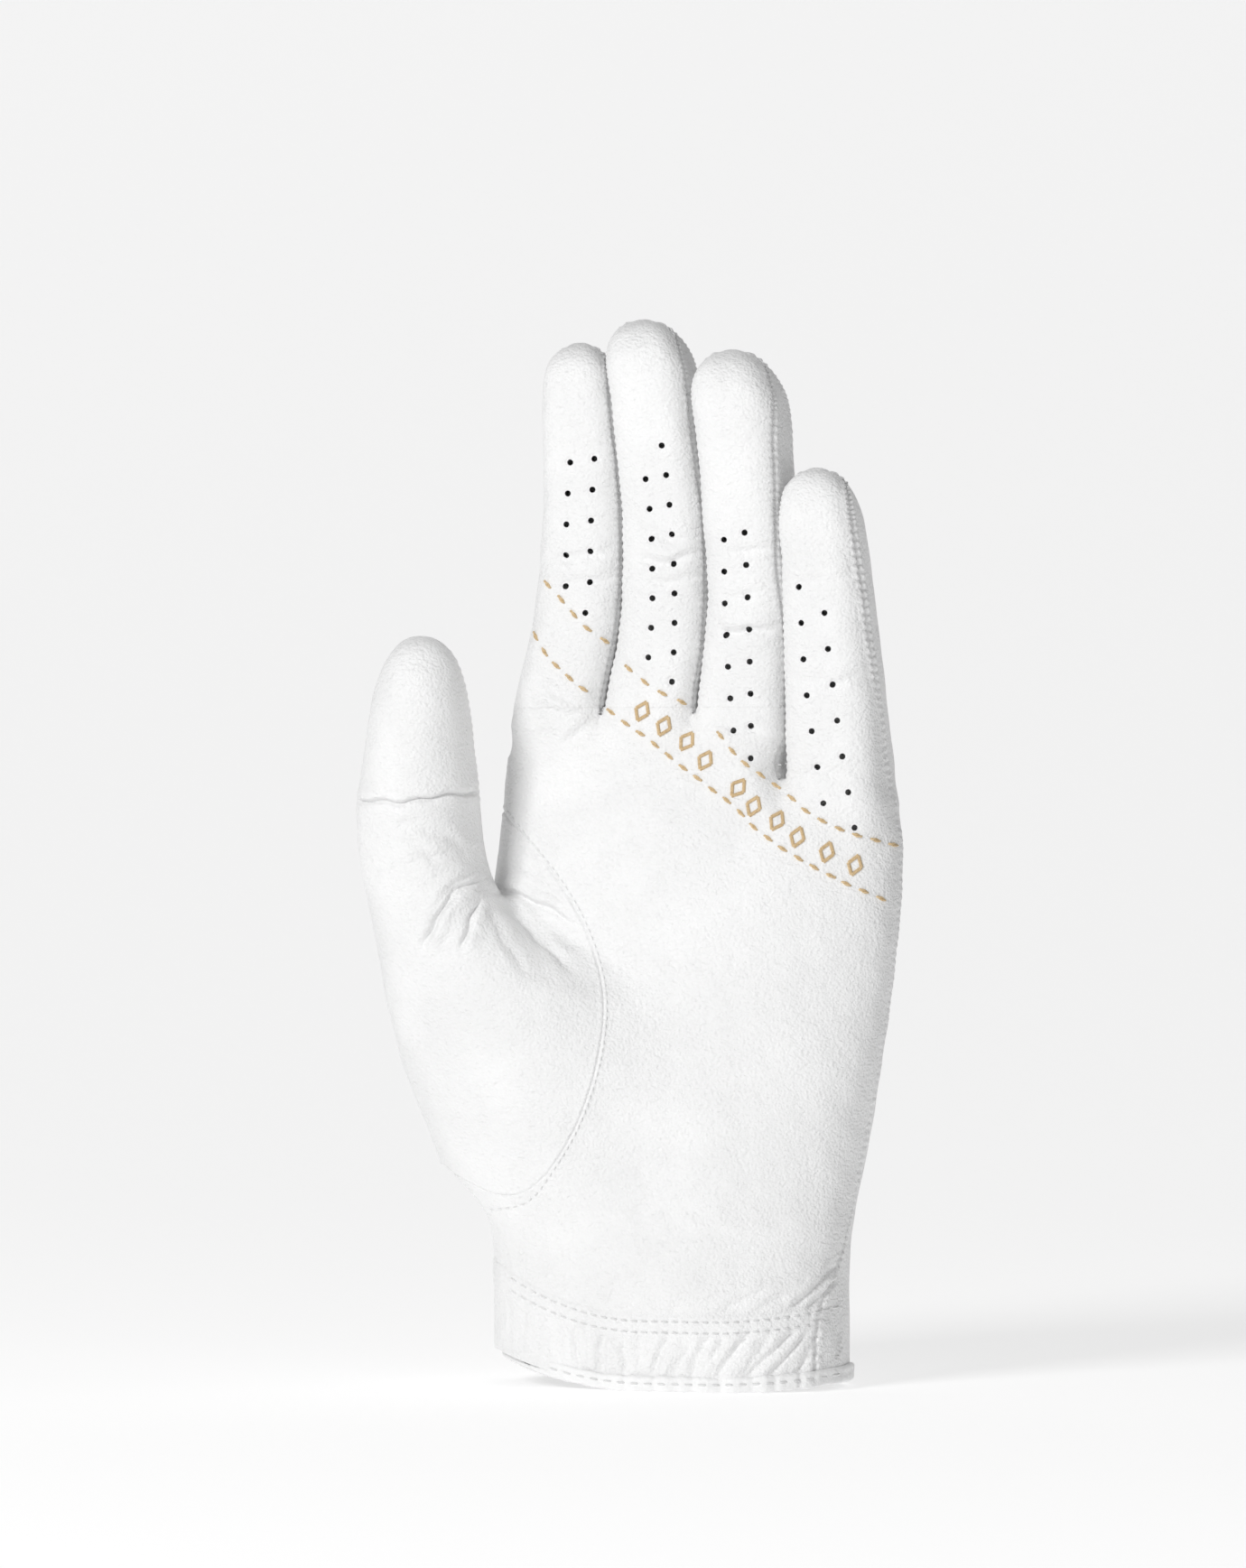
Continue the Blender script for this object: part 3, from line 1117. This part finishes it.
def rounded(parts, radius):
    """The outline common to several distances, with its edges rounded."""
    parts = [part + radius for part in parts]
    outside = np.sqrt(sum(np.maximum(part, 0)**2 for part in parts))
    return outside + np.minimum(np.max(parts, 0), 0) - radius


def solid_piece(node, body, slot, field, low, high, step, stands_off=None, bend=None, lifted=True):
    """A closed piece meshed from a field, with its relief pressed in."""
    p, quads = surface_net(field, low, high, step)
    p = settle(field, p, 2)
    tris = triangles(p, quads)
    n = normals_from(field, p)
    if stands_off is not None:
        p = p + stands_off(p, n)[:, None] * n
    if lifted:
        p[:, 2] += lift(p)
    n = normals_of(p, tris)
    piece(node + "_soft", node, body, slot, p, tris, n, bend)
    return p, tris


def dimples(run, pitch, across, width, depth):
    """Little pits where a row of stitches pulls the leather down."""
    return -depth * groove(across, width) * (0.6 + 0.4 * np.cos(2 * np.pi * run / pitch))


def around(p):
    """Length round the cuff, roughly, from the angle about its middle."""
    return np.arctan2((p[:, 1] - CUFF_MIDDLE[1]) * 1.35, p[:, 0] - CUFF_MIDDLE[0]) * 30.5


HEM_Z, HEM_PITCH = 1.7, 2.8      # the row of stitches in the binding


def binding_field(p):
    """The folded strip round the cuff's edge, with a gap at the slit."""
    d, z = off_form(p), p[:, 2]
    return rounded([np.abs(d + 0.18) - 1.05, np.abs(z - 1.6) - 1.6, slit_field(p) - 0.1], 0.62)


def binding_relief(p, n):
    """The binding follows the gathers, and its stitches pull it down."""
    q = screen(p)
    outer = smooth_step(off_form(p), -0.2, 0.5)
    folds = 0.5 * gathers(np.c_[p[:, :2], np.full(len(p), 4.2)], np.c_[q[:, 0], np.full(len(p), 4.2)])
    sewn = dimples(around(p), HEM_PITCH, p[:, 2] - HEM_Z, 0.5, 0.2)
    return outer * (folds + sewn) + 0.10 * noise(p, 9.0, 21)


binding = solid_piece("cuff_binding", "hand", "binding_leather", binding_field, (-30, -23, -1), (50, 26, 6),
                      0.4, binding_relief)


def elastic_field(p):
    """A flat band inside the palm side of the cuff."""
    d, z = off_form(p), p[:, 2]
    return rounded([np.abs(d + 1.3) - 0.32, np.abs(z - 10.0) - 4.5, p[:, 1] + 3.5], 0.2)


def elastic_relief(p, n):
    """Ribs, and the gathers that it draws in."""
    return 0.9 * gathers(p, screen(p)) + 0.06 * np.sin(p[:, 2] * 2 * np.pi / 1.1)


solid_piece("cuff_elastic", "hand", "elastic", elastic_field, (-30, -23, 3), (50, 0, 17),
            0.42, elastic_relief)


def slit_binding_field(p):
    """The binding up both sides of the slit and over its top."""
    d, z, s = off_form(p), p[:, 2], slit_edge(p)
    return rounded([np.abs(d + 0.15) - 0.78, np.abs(s - 1.1) - 1.5, z - 63.4, 3.9 - z, BACK_Y - p[:, 1]], 0.5)


solid_piece("slit_binding", "hand", "binding_leather", slit_binding_field, (3, 12, 3), (15, 25, 65), 0.36,
            lambda p, n: dimples(p[:, 2], 2.2, slit_edge(p) - 1.9, 0.4, 0.16))

TAB_X, TAB_Z = (-24.0, 15.0), (12.0, 35.0)      # the closure tab, as far as its sewn edge
ANCHOR_ROWS = (TAB_X[1] + 2.0, TAB_X[1] + 8.2)  # the two rows that sew its end down
PATCH_Z = (14.5, 32.5)                          # the loop patch and the hook patch


def plan(p, xs, zs, corner):
    """Distance outside a rounded rectangle on the back of the wrist, in x and z."""
    mx, mz = sum(xs) / 2, sum(zs) / 2
    x = np.abs(p[:, 0] - mx) - (xs[1] - xs[0]) / 2 + corner
    z = np.abs(p[:, 2] - mz) - (zs[1] - zs[0]) / 2 + corner
    return np.hypot(np.maximum(x, 0), np.maximum(z, 0)) + np.minimum(np.maximum(x, z), 0) - corner


def patch_field(xs, low, high):
    """A flat patch with round corners, between two distances out from the hand."""
    def field(p):
        d = off_form(p)
        return rounded([plan(p, xs, PATCH_Z, 2.5), np.abs(d - (low + high) / 2) - (high - low) / 2,
                        BACK_Y - p[:, 1]], 0.3)
    return field


solid_piece("closure_loop_patch", "hand", "loop_fabric", patch_field((-21.0, 3.0), -0.4, 1.4), (-23, 5, 12),
            (5, 27, 35), 0.42, lambda p, n: 0.05 * noise(p, 1.6, 31), lifted=False)
solid_piece("closure_hook_patch", "closure_tab", "hook_tape", patch_field((-20.0, 2.0), 1.72, 2.5),
            (-22, 5, 12), (4, 27, 35), 0.42, lambda p, n: 0.04 * noise(p, 1.3, 33), lifted=False)


def tab_plan(p):
    """The tab's free end is round; its sewn end is square."""
    long = (TAB_X[0], TAB_X[1] + 12.0)
    return np.maximum(plan(p, long, TAB_Z, 6.5), p[:, 0] - TAB_X[1])


def tab_field(p):
    """The closure tab, curved round the back of the wrist."""
    d = off_form(p)
    return rounded([tab_plan(p), np.abs(d - 3.12) - 0.66, BACK_Y - p[:, 1]], 0.45)


def tab_relief(p, n):
    """The tab's sewn-down margin, and its padded middle."""
    inset = -tab_plan(p) + 12.0 * (p[:, 0] > TAB_X[1] - 4)
    top = smooth_step(off_form(p), 2.9, 3.5)
    pad = 0.5 * smooth_step(inset, 2.2, 5.0)
    return top * (pad - 0.26 * groove(inset - 2.0, 0.55) + 0.06 * noise(p, 8.0, 41))


tab = solid_piece("closure_tab", "closure_tab", "back_cabretta", tab_field, (-26, 4, 10), (17, 30, 37), 0.42,
                  tab_relief, bend="tab", lifted=False)


def anchor_top(p):
    """Height of the tab's sewn end above the hand."""
    return 3.75 - 2.6 * smooth_step(p[:, 0], TAB_X[1] + 1.0, TAB_X[1] + 10.5)


def anchor_field(p):
    """The tab's sewn end, which thins away from the tab."""
    d = off_form(p)
    low, high = -0.3, anchor_top(p)
    return rounded([plan(p, (TAB_X[1] + 0.15, TAB_X[1] + 10.0), TAB_Z, 0.8),
                    np.abs(d - (low + high) / 2) - (high - low) / 2, BACK_Y - p[:, 1]], 0.45)


def anchor_relief(p, n):
    """Its two rows of stitches, pulled in."""
    top = smooth_step(off_form(p) - anchor_top(p), -0.6, 0.0)
    rows = sum(groove(p[:, 0] - row, 0.5) for row in ANCHOR_ROWS)
    return top * (0.05 * noise(p, 7.0, 43) - 0.24 * rows)


anchor = solid_piece("tab_anchor", "hand", "back_cabretta", anchor_field, (13, 8, 10), (27, 30, 37), 0.42,
                     anchor_relief, lifted=False)

# ---------------------------------------------------------------- thread
class Surface:
    """Skins that thread is laid on, found along straight lines."""

    def __init__(self, skins):
        points, tris, self.owner, start = [], [], [], 0
        for i, (p, t) in enumerate(skins):
            points.append(p)
            tris.append(t + start)
            self.owner += [i] * len(t)
            start += len(p)
        self.tree = BVHTree.FromPolygons(np.concatenate(points).tolist(), np.concatenate(tris).tolist())

    def hit(self, start, toward):
        place, normal, face, _ = self.tree.ray_cast(Vector(start), Vector(toward))
        if place is None:
            return None
        normal = np.array(normal)
        if normal @ np.array(toward) > 0:
            normal = -normal
        return np.array(place), normal, self.owner[face]

    def seen(self, across, up):
        """The point of the skin that shows at a place in the seen plane."""
        return self.hit(np.array([across * COS, across * SIN, up]) + VIEW * 80, -VIEW)

    def behind(self, x, z):
        return self.hit((x, 60.0, z), (0.0, -1.0, 0.0))


def path_at(line, pitch, offset=0.0, start=0.0):
    """Places at an even pitch along a smooth line, with the direction of the line at each."""
    line = smooth_line(line, 0.5)
    step = np.hypot(*np.diff(line, axis=0).T)
    run = np.concatenate([[0], np.cumsum(step)])
    count = int((run[-1] - start) / pitch)
    out = []
    for i in range(count):
        s = start + (i + 0.5) * (run[-1] - start) / count
        at = np.array([np.interp(s, run, line[:, 0]), np.interp(s, run, line[:, 1])])
        ahead = np.array([np.interp(s + 0.4, run, line[:, 0]), np.interp(s + 0.4, run, line[:, 1])])
        back = np.array([np.interp(s - 0.4, run, line[:, 0]), np.interp(s - 0.4, run, line[:, 1])])
        d = (ahead - back) / np.hypot(*(ahead - back))
        out.append((at + offset * np.array([-d[1], d[0]]), d))
    return out


def strand(centres, radii, sides=8):
    """A round thread through 3-D points."""
    centres, radii = np.array(centres), np.array(radii)
    along = np.gradient(centres, axis=0)
    along /= np.linalg.norm(along, axis=1, keepdims=True)
    up = np.cross(along, (0.31, 0.27, 0.91))
    up /= np.linalg.norm(up, axis=1, keepdims=True)
    side = np.cross(along, up)
    angle = np.arange(sides) * 2 * np.pi / sides
    ring = up[:, None] * np.cos(angle)[:, None] + side[:, None] * np.sin(angle)[:, None]
    points = (centres[:, None] + radii[:, None, None] * ring).reshape(-1, 3)
    count = len(centres)
    faces = []
    for i in range(count - 1):
        for j in range(sides):
            a, b = i * sides + j, i * sides + (j + 1) % sides
            faces += [(a, b, b + sides), (a, b + sides, a + sides)]
    for j in range(1, sides - 1):
        faces += [(0, j + 1, j), ((count - 1) * sides, (count - 1) * sides + j, (count - 1) * sides + j + 1)]
    return points, np.array(faces)


def join(parts):
    points, faces, start = [], [], 0
    for p, f in parts:
        points.append(p)
        faces.append(f + start)
        start += len(p)
    return np.concatenate(points), np.concatenate(faces)


def bed(find, middle, direction, length, steps):
    """Points, normal and piece of the skin under a stitch; nothing if the stitch misses or crosses a gap."""
    found = [find(*(middle + direction * length * (i / (steps - 1) - 0.5))) for i in range(steps)]
    if any(f is None for f in found):
        return None
    points = np.array([f[0] for f in found])
    if np.linalg.norm(np.diff(points, axis=0), axis=1).max() > 3.4 * length / (steps - 1):
        return None
    normal = np.mean([f[1] for f in found], axis=0)
    return points, normal / np.linalg.norm(normal), found[steps // 2][2]


def plain_stitch(find, middle, direction, length, radius, proud=0.35):
    """One stitch of a single thread, dipping into the leather at both ends."""
    under = bed(find, middle, direction, length, 7)
    if under is None:
        return None
    points, normal, owner = under
    t = np.linspace(-1, 1, 7)
    height = radius * (proud - 1.5 * np.abs(t)**5)
    smooth = points + normal * height[:, None]
    return strand(smooth, radius * (1 - 0.45 * np.abs(t)**6)), owner


def plied_stitch(find, middle, direction, length, radius, rng):
    """One thick stitch of two plies twisted round each other."""
    steps = 11
    under = bed(find, middle, direction, length, steps)
    if under is None:
        return None
    points, normal, owner = under
    t = np.linspace(-1, 1, steps)
    side = np.cross(points[-1] - points[0], normal)
    side /= np.linalg.norm(side)
    first = rng.uniform(-0.4, 0.4)
    parts = []
    for turn in (0, np.pi):
        angle = first + turn + t * np.pi * 0.8
        pinch = 1 - 0.5 * np.abs(t)**4
        off = 0.55 * radius * (np.cos(angle) * pinch)[:, None] * side \
            + 0.40 * radius * (np.sin(angle) * pinch)[:, None] * normal
        height = radius * (0.45 - 1.5 * np.abs(t)**6)
        thin = 0.58 * radius * (1 - 0.35 * np.abs(t)**6)
        parts.append(strand(points + off + height[:, None] * normal, thin))
    return join(parts), owner


def laid_row(name, node, body, slot, stitches, bend=None):
    """A row of stitches as one piece."""
    made = [s[0] for s in stitches if s is not None]
    points, faces = join(made)
    obj = make_object(name, points, faces, LOOKS[slot])
    attach(obj, body, bend)
    if node:
        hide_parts(node)
    return obj


rng = np.random.default_rng(5)
skin = Surface(SKINS)
OWNERS = ["hand"] + list(FINGERS)
GOLD_RUNS = {
    "index": [(-18.6, 169.6), (-13.6, 163.6), (-9.6, 159.0), (-3.5, 155.0)],
    "middle": [(-1.9, 151.6), (4.2, 146.4), (11.6, 142.7), (16.2, 139.4)],
    "upper": [(17.6, 137.6), (22.9, 131.2), (32.4, 123.9), (36.6, 120.2), (44.2, 116.4), (56.6, 113.0)],
    "lower": [(-20.6, 158.8), (-17.8, 153.4), (-13.0, 148.6), (-7.3, 143.9), (-3.4, 140.6), (4.2, 135.0),
              (11.8, 128.7), (19.4, 123.0), (28.9, 114.5), (41.2, 107.2), (57.0, 100.0)],
}
gold = {"gold_stitching_upper": [], "gold_stitching_lower": [], "gold_stitching_index": [],
        "gold_stitching_middle": []}
for run, line in GOLD_RUNS.items():
    for middle, direction in path_at(line, 3.7):
        middle = middle + rng.normal(0, 0.08, 2)
        lean = rng.normal(0, 0.05)
        direction = direction + lean * np.array([-direction[1], direction[0]])
        made = plied_stitch(skin.seen, middle, direction, 2.3, 0.38, rng)
        if made is None:
            continue
        owner = OWNERS[made[1]]
        node = f"gold_stitching_{owner}" if owner in ("index", "middle") else \
            "gold_stitching_lower" if run == "lower" else "gold_stitching_upper"
        gold[node].append(made)
for node, stitches in gold.items():
    name = node.split("_")[-1]
    if name in FINGERS:
        laid_row(node + "_thread", node, f"{name}_finger", "gold_thread", stitches, bend=name)
    else:
        laid_row(node + "_thread", node, "hand", "gold_thread", stitches)

# the middles of the lozenges, in two groups
MOTIFS = [(2.5, 141.2), (7.0, 138.1), (11.8, 134.9), (15.6, 130.9),
          (22.4, 125.2), (25.6, 121.4), (30.4, 118.4), (34.6, 115.0), (40.7, 111.9), (46.5, 109.2)]


def lozenge(across, up, tilt):
    """A plain open lozenge in satin stitch: short threads side by side across its outline."""
    tall, wide, band = 4.3, 2.9, 0.46
    corners = np.array([(0, tall / 2), (wide / 2, 0), (0, -tall / 2), (-wide / 2, 0), (0, tall / 2)])
    turn = np.array([[np.cos(tilt), -np.sin(tilt)], [np.sin(tilt), np.cos(tilt)]])
    made = []
    for a, b in zip(corners[:-1], corners[1:]):
        side = b - a
        size = np.hypot(*side)
        side = side / size
        cross = np.array([-side[1], side[0]])
        count = int(size / 0.27)
        for i in range(count):
            at = a + side * (i + 0.5) * size / count
            slant = cross + 0.35 * side
            middle = turn @ at + (across, up)
            made.append(plain_stitch(skin.seen, middle, turn @ (slant / np.hypot(*slant)), band + 0.25,
                                     0.17, proud=0.9))
    return made


satin = []
for (across, up), after in zip(MOTIFS, MOTIFS[1:] + [(52.0, 106.6)]):
    satin += lozenge(across, up, math.atan2(after[1] - up, after[0] - across) * 0.75)
laid_row("embroidered_lozenges_thread", "embroidered_lozenges", "hand", "gold_thread", satin)

rows = [plain_stitch(skin.seen, m, d, 0.95, 0.15) for m, d in path_at(THUMB_SEAM[::6], 1.65, offset=0.62)]
laid_row("thumb_seam_thread", "thumb_seam_stitching", "hand", "white_thread", rows)


def level_row(surface, height, pitch, length, radius):
    """A row of stitches round the palm side at one height above the cuff's edge."""
    made = []
    across = ROW_START
    while across < ROW_END:
        here = surface.seen(across, height + 1.0)
        if here is not None:
            rise = lift(here[0][None])[0]
            ahead = surface.seen(across + 0.5, height + 1.0)
            slope = 0.0 if ahead is None else (lift(ahead[0][None])[0] - rise) / 0.5
            direction = np.array([1.0, slope]) / math.hypot(1.0, slope)
            middle = np.array([across, height + rise])
            made.append(plain_stitch(surface.seen, middle, direction, length, radius))
        across += pitch
    return made


rows = [stitch for row in CUFF_ROWS for stitch in level_row(skin, row, CUFF_PITCH, 1.5, 0.2)]
laid_row("cuff_seam_thread", "cuff_seam_stitching", "hand", "white_thread", rows)
rows = level_row(Surface([binding]), HEM_Z, HEM_PITCH, 1.8, 0.21)
laid_row("binding_thread", "binding_stitching", "hand", "white_thread", rows)

sewn = Surface([anchor])
rows = []
for x in ANCHOR_ROWS:
    for m, d in path_at([(x, TAB_Z[0] + 1.2), (x, sum(TAB_Z) / 2), (x, TAB_Z[1] - 1.2)], 2.2):
        rows.append(plain_stitch(sewn.behind, m, d, 1.5, 0.2))
laid_row("tab_anchor_thread", "tab_anchor_stitching", "hand", "white_thread", rows)
# the row round the tab's edge: the lower half, and then its mirror image
lower = [(TAB_X[1] - 0.5, 2.0), (0.0, 2.0), (TAB_X[0] + 7.5, 2.0), (TAB_X[0] + 3.6, 4.2),
         (TAB_X[0] + 2.0, 7.4)]
edge = [(x, TAB_Z[0] + inset) for x, inset in lower] + [(x, TAB_Z[1] - inset) for x, inset in lower[::-1]]
flap = Surface([tab])
rows = [plain_stitch(flap.behind, m, d, 1.5, 0.2) for m, d in path_at(edge, 2.2)]
laid_row("tab_edge_thread", None, "closure_tab", "white_thread", rows, bend="tab")


# ---------------------------------------------------------------- the small stitches over the side seams
def follow(rows, run, s):
    """The value of rows of three at a length along them."""
    return np.array([np.interp(s, run, rows[:, i]) for i in range(3)])


def overcast(places, normals, pitch=1.7):
    """Short threads that cross a seam aslant, along points on it."""
    places, normals = np.array(places), np.array(normals)
    run = np.concatenate([[0], np.cumsum(np.linalg.norm(np.diff(places, axis=0), axis=1))])
    made = []
    for s in np.arange(pitch / 2, run[-1], pitch):
        middle, ahead, back = (follow(places, run, s + d) for d in (0, 0.5, -0.5))
        along = (ahead - back) / np.linalg.norm(ahead - back)
        normal = follow(normals, run, s)
        normal /= np.linalg.norm(normal)
        across = np.cross(normal, along)
        slant = 0.8 * across + 0.6 * along
        t = np.linspace(-1, 1, 5)
        points = middle + 0.55 * t[:, None] * slant + (0.20 - 0.30 * t**2)[:, None] * normal
        made.append((strand(points, 0.15 * (1 - 0.4 * np.abs(t)**4), sides=6), None))
    return made


def finger_seam_points(name, side, face):
    """Points up one seam of a finger and over its tip. side is -1 or 1 across; face -1 is the palm's seam."""
    surface = Surface([FINGER_SKINS[name]])
    start = FINGERS[name][1][0]
    spots = [(z, 0.0) for z in np.arange(CUT_Z[name] + 1.0, start, 0.7)]
    spots += [(start, turn) for turn in np.arange(0.0, np.pi / 2 - 0.25, 0.08)]
    places, normals = [], []
    for z, turn in spots:
        level = z
        for _ in range(3):
            probe = np.array([[0.0, 0.0, level]])
            probe[0, 0], probe[0, 1] = centre_x(probe, name)[0] + 5.0 * side, centre_y(probe, name)[0]
            y = probe[0, 1] + face * strip_half(probe, name)[0] - side_height(probe, name)[0]
            outward = np.array([side * math.cos(turn), 0.0, math.sin(turn)])
            from_here = np.array([centre_x(np.array([[0, 0, z]]), name)[0], y, z])
            found = surface.hit(from_here + 40 * outward, -outward)
            if found is None:
                break
            level = found[0][2]
        if found is not None:
            places.append(found[0])
            normals.append(found[1])
    return places, normals


for name in FINGERS:
    rows = []
    for side in (-1, 1):
        for face in (-1, 1) if side in STRIPS[name].values() else (-1,):
            rows += overcast(*finger_seam_points(name, side, face))
    laid_row(f"{name}_seam_thread", None, f"{name}_finger", "white_thread", rows, bend=name)

surface = Surface([SKINS[0]])
places, normals = [], []
for z in np.arange(16.0, CUT_Z["little"], 0.8):
    probe = np.array([[30.0, 0.0, z]])
    found = surface.hit((90.0, -back_seam_main(probe)[0], z), (-1.0, 0.0, 0.0))
    if found is not None:
        places.append(found[0])
        normals.append(found[1])
laid_row("side_seam_thread", None, "hand", "white_thread", overcast(places, normals))


# ---------------------------------------------------------------- light, floor and camera
ACROSS, MIDDLE_Z = -1.5, 126.0   # the middle of the picture: across it, and up
TALL, AWAY = 0.33, 1.5           # metres: the height that the picture takes in, and the camera's distance
AIM = world(np.array([ACROSS * COS, ACROSS * SIN, MIDDLE_Z]))


def cyclorama():
    """A pale floor that curves up into a backdrop behind the glove."""
    profile = [(-1.9, 0.0), (0.9, 0.0)]
    for i in range(1, 17):
        t = math.pi / 2 * i / 16
        profile.append((0.9 + 0.9 * math.sin(t), 0.9 * (1 - math.cos(t))))
    profile.append((1.8, 2.6))
    wide = 2.6
    points = []
    for x in (-wide, wide):
        for back, z in profile:
            points.append((x * COS - VIEW[0] * back, x * SIN - VIEW[1] * back, z))
    n = len(profile)
    mesh = bpy.data.meshes.new("floor")
    mesh.from_pydata(points, [], [(i, i + n, i + n + 1, i + 1) for i in range(n - 1)])
    floor = bpy.data.objects.new("floor", mesh)
    bpy.context.scene.collection.objects.link(floor)
    for face in mesh.polygons:
        face.use_smooth = True
    material, _, shader = nodes_of("floor_paper")
    shader.inputs["Base Color"].default_value = (0.50, 0.50, 0.50, 1)
    shader.inputs["Emission Color"].default_value = (1, 1, 1, 1)
    shader.inputs["Emission Strength"].default_value = 0.64
    shader.inputs["Roughness"].default_value = 0.9
    shader.inputs["Specular IOR Level"].default_value = 0.0
    mesh.materials.append(material)


def area_light(name, place, aim, size, watts):
    """A soft square light that points at a place."""
    lamp = bpy.data.lights.new(name, "AREA")
    lamp.energy = watts
    lamp.size = size
    obj = bpy.data.objects.new(name, lamp)
    obj.location = place
    obj.rotation_euler = (Vector(aim) - Vector(place)).to_track_quat("-Z", "Y").to_euler()
    bpy.context.scene.collection.objects.link(obj)
    return obj


def seen_from(across, toward, up):
    """A place given across, towards the camera and up from the glove, in metres."""
    return (across * COS + toward * VIEW[0], across * SIN + toward * VIEW[1], up)


cyclorama()
area_light("key", seen_from(-1.0, 1.25, 0.95), AIM, 0.6, 19.9)
area_light("fill", seen_from(0.9, 1.6, 0.5), AIM, 1.4, 4.2)
world_light = bpy.data.worlds.new("studio")
bpy.context.scene.world = world_light
world_light.use_nodes = True
world_light.node_tree.nodes["Background"].inputs["Color"].default_value = (1, 1, 1, 1)
world_light.node_tree.nodes["Background"].inputs["Strength"].default_value = 0.15

bpy.context.scene.view_settings.view_transform = "Standard"
camera_data = bpy.data.cameras.new("camera")
camera_data.sensor_fit = "VERTICAL"
camera_data.sensor_height = 24.0
camera_data.lens = camera_data.sensor_height * AWAY / TALL
camera = bpy.data.objects.new("camera", camera_data)
camera.location = Vector(AIM) + Vector(VIEW) * AWAY
camera.rotation_euler = (Vector(AIM) - camera.location).to_track_quat("-Z", "Y").to_euler()
bpy.context.scene.collection.objects.link(camera)
bpy.context.scene.camera = camera
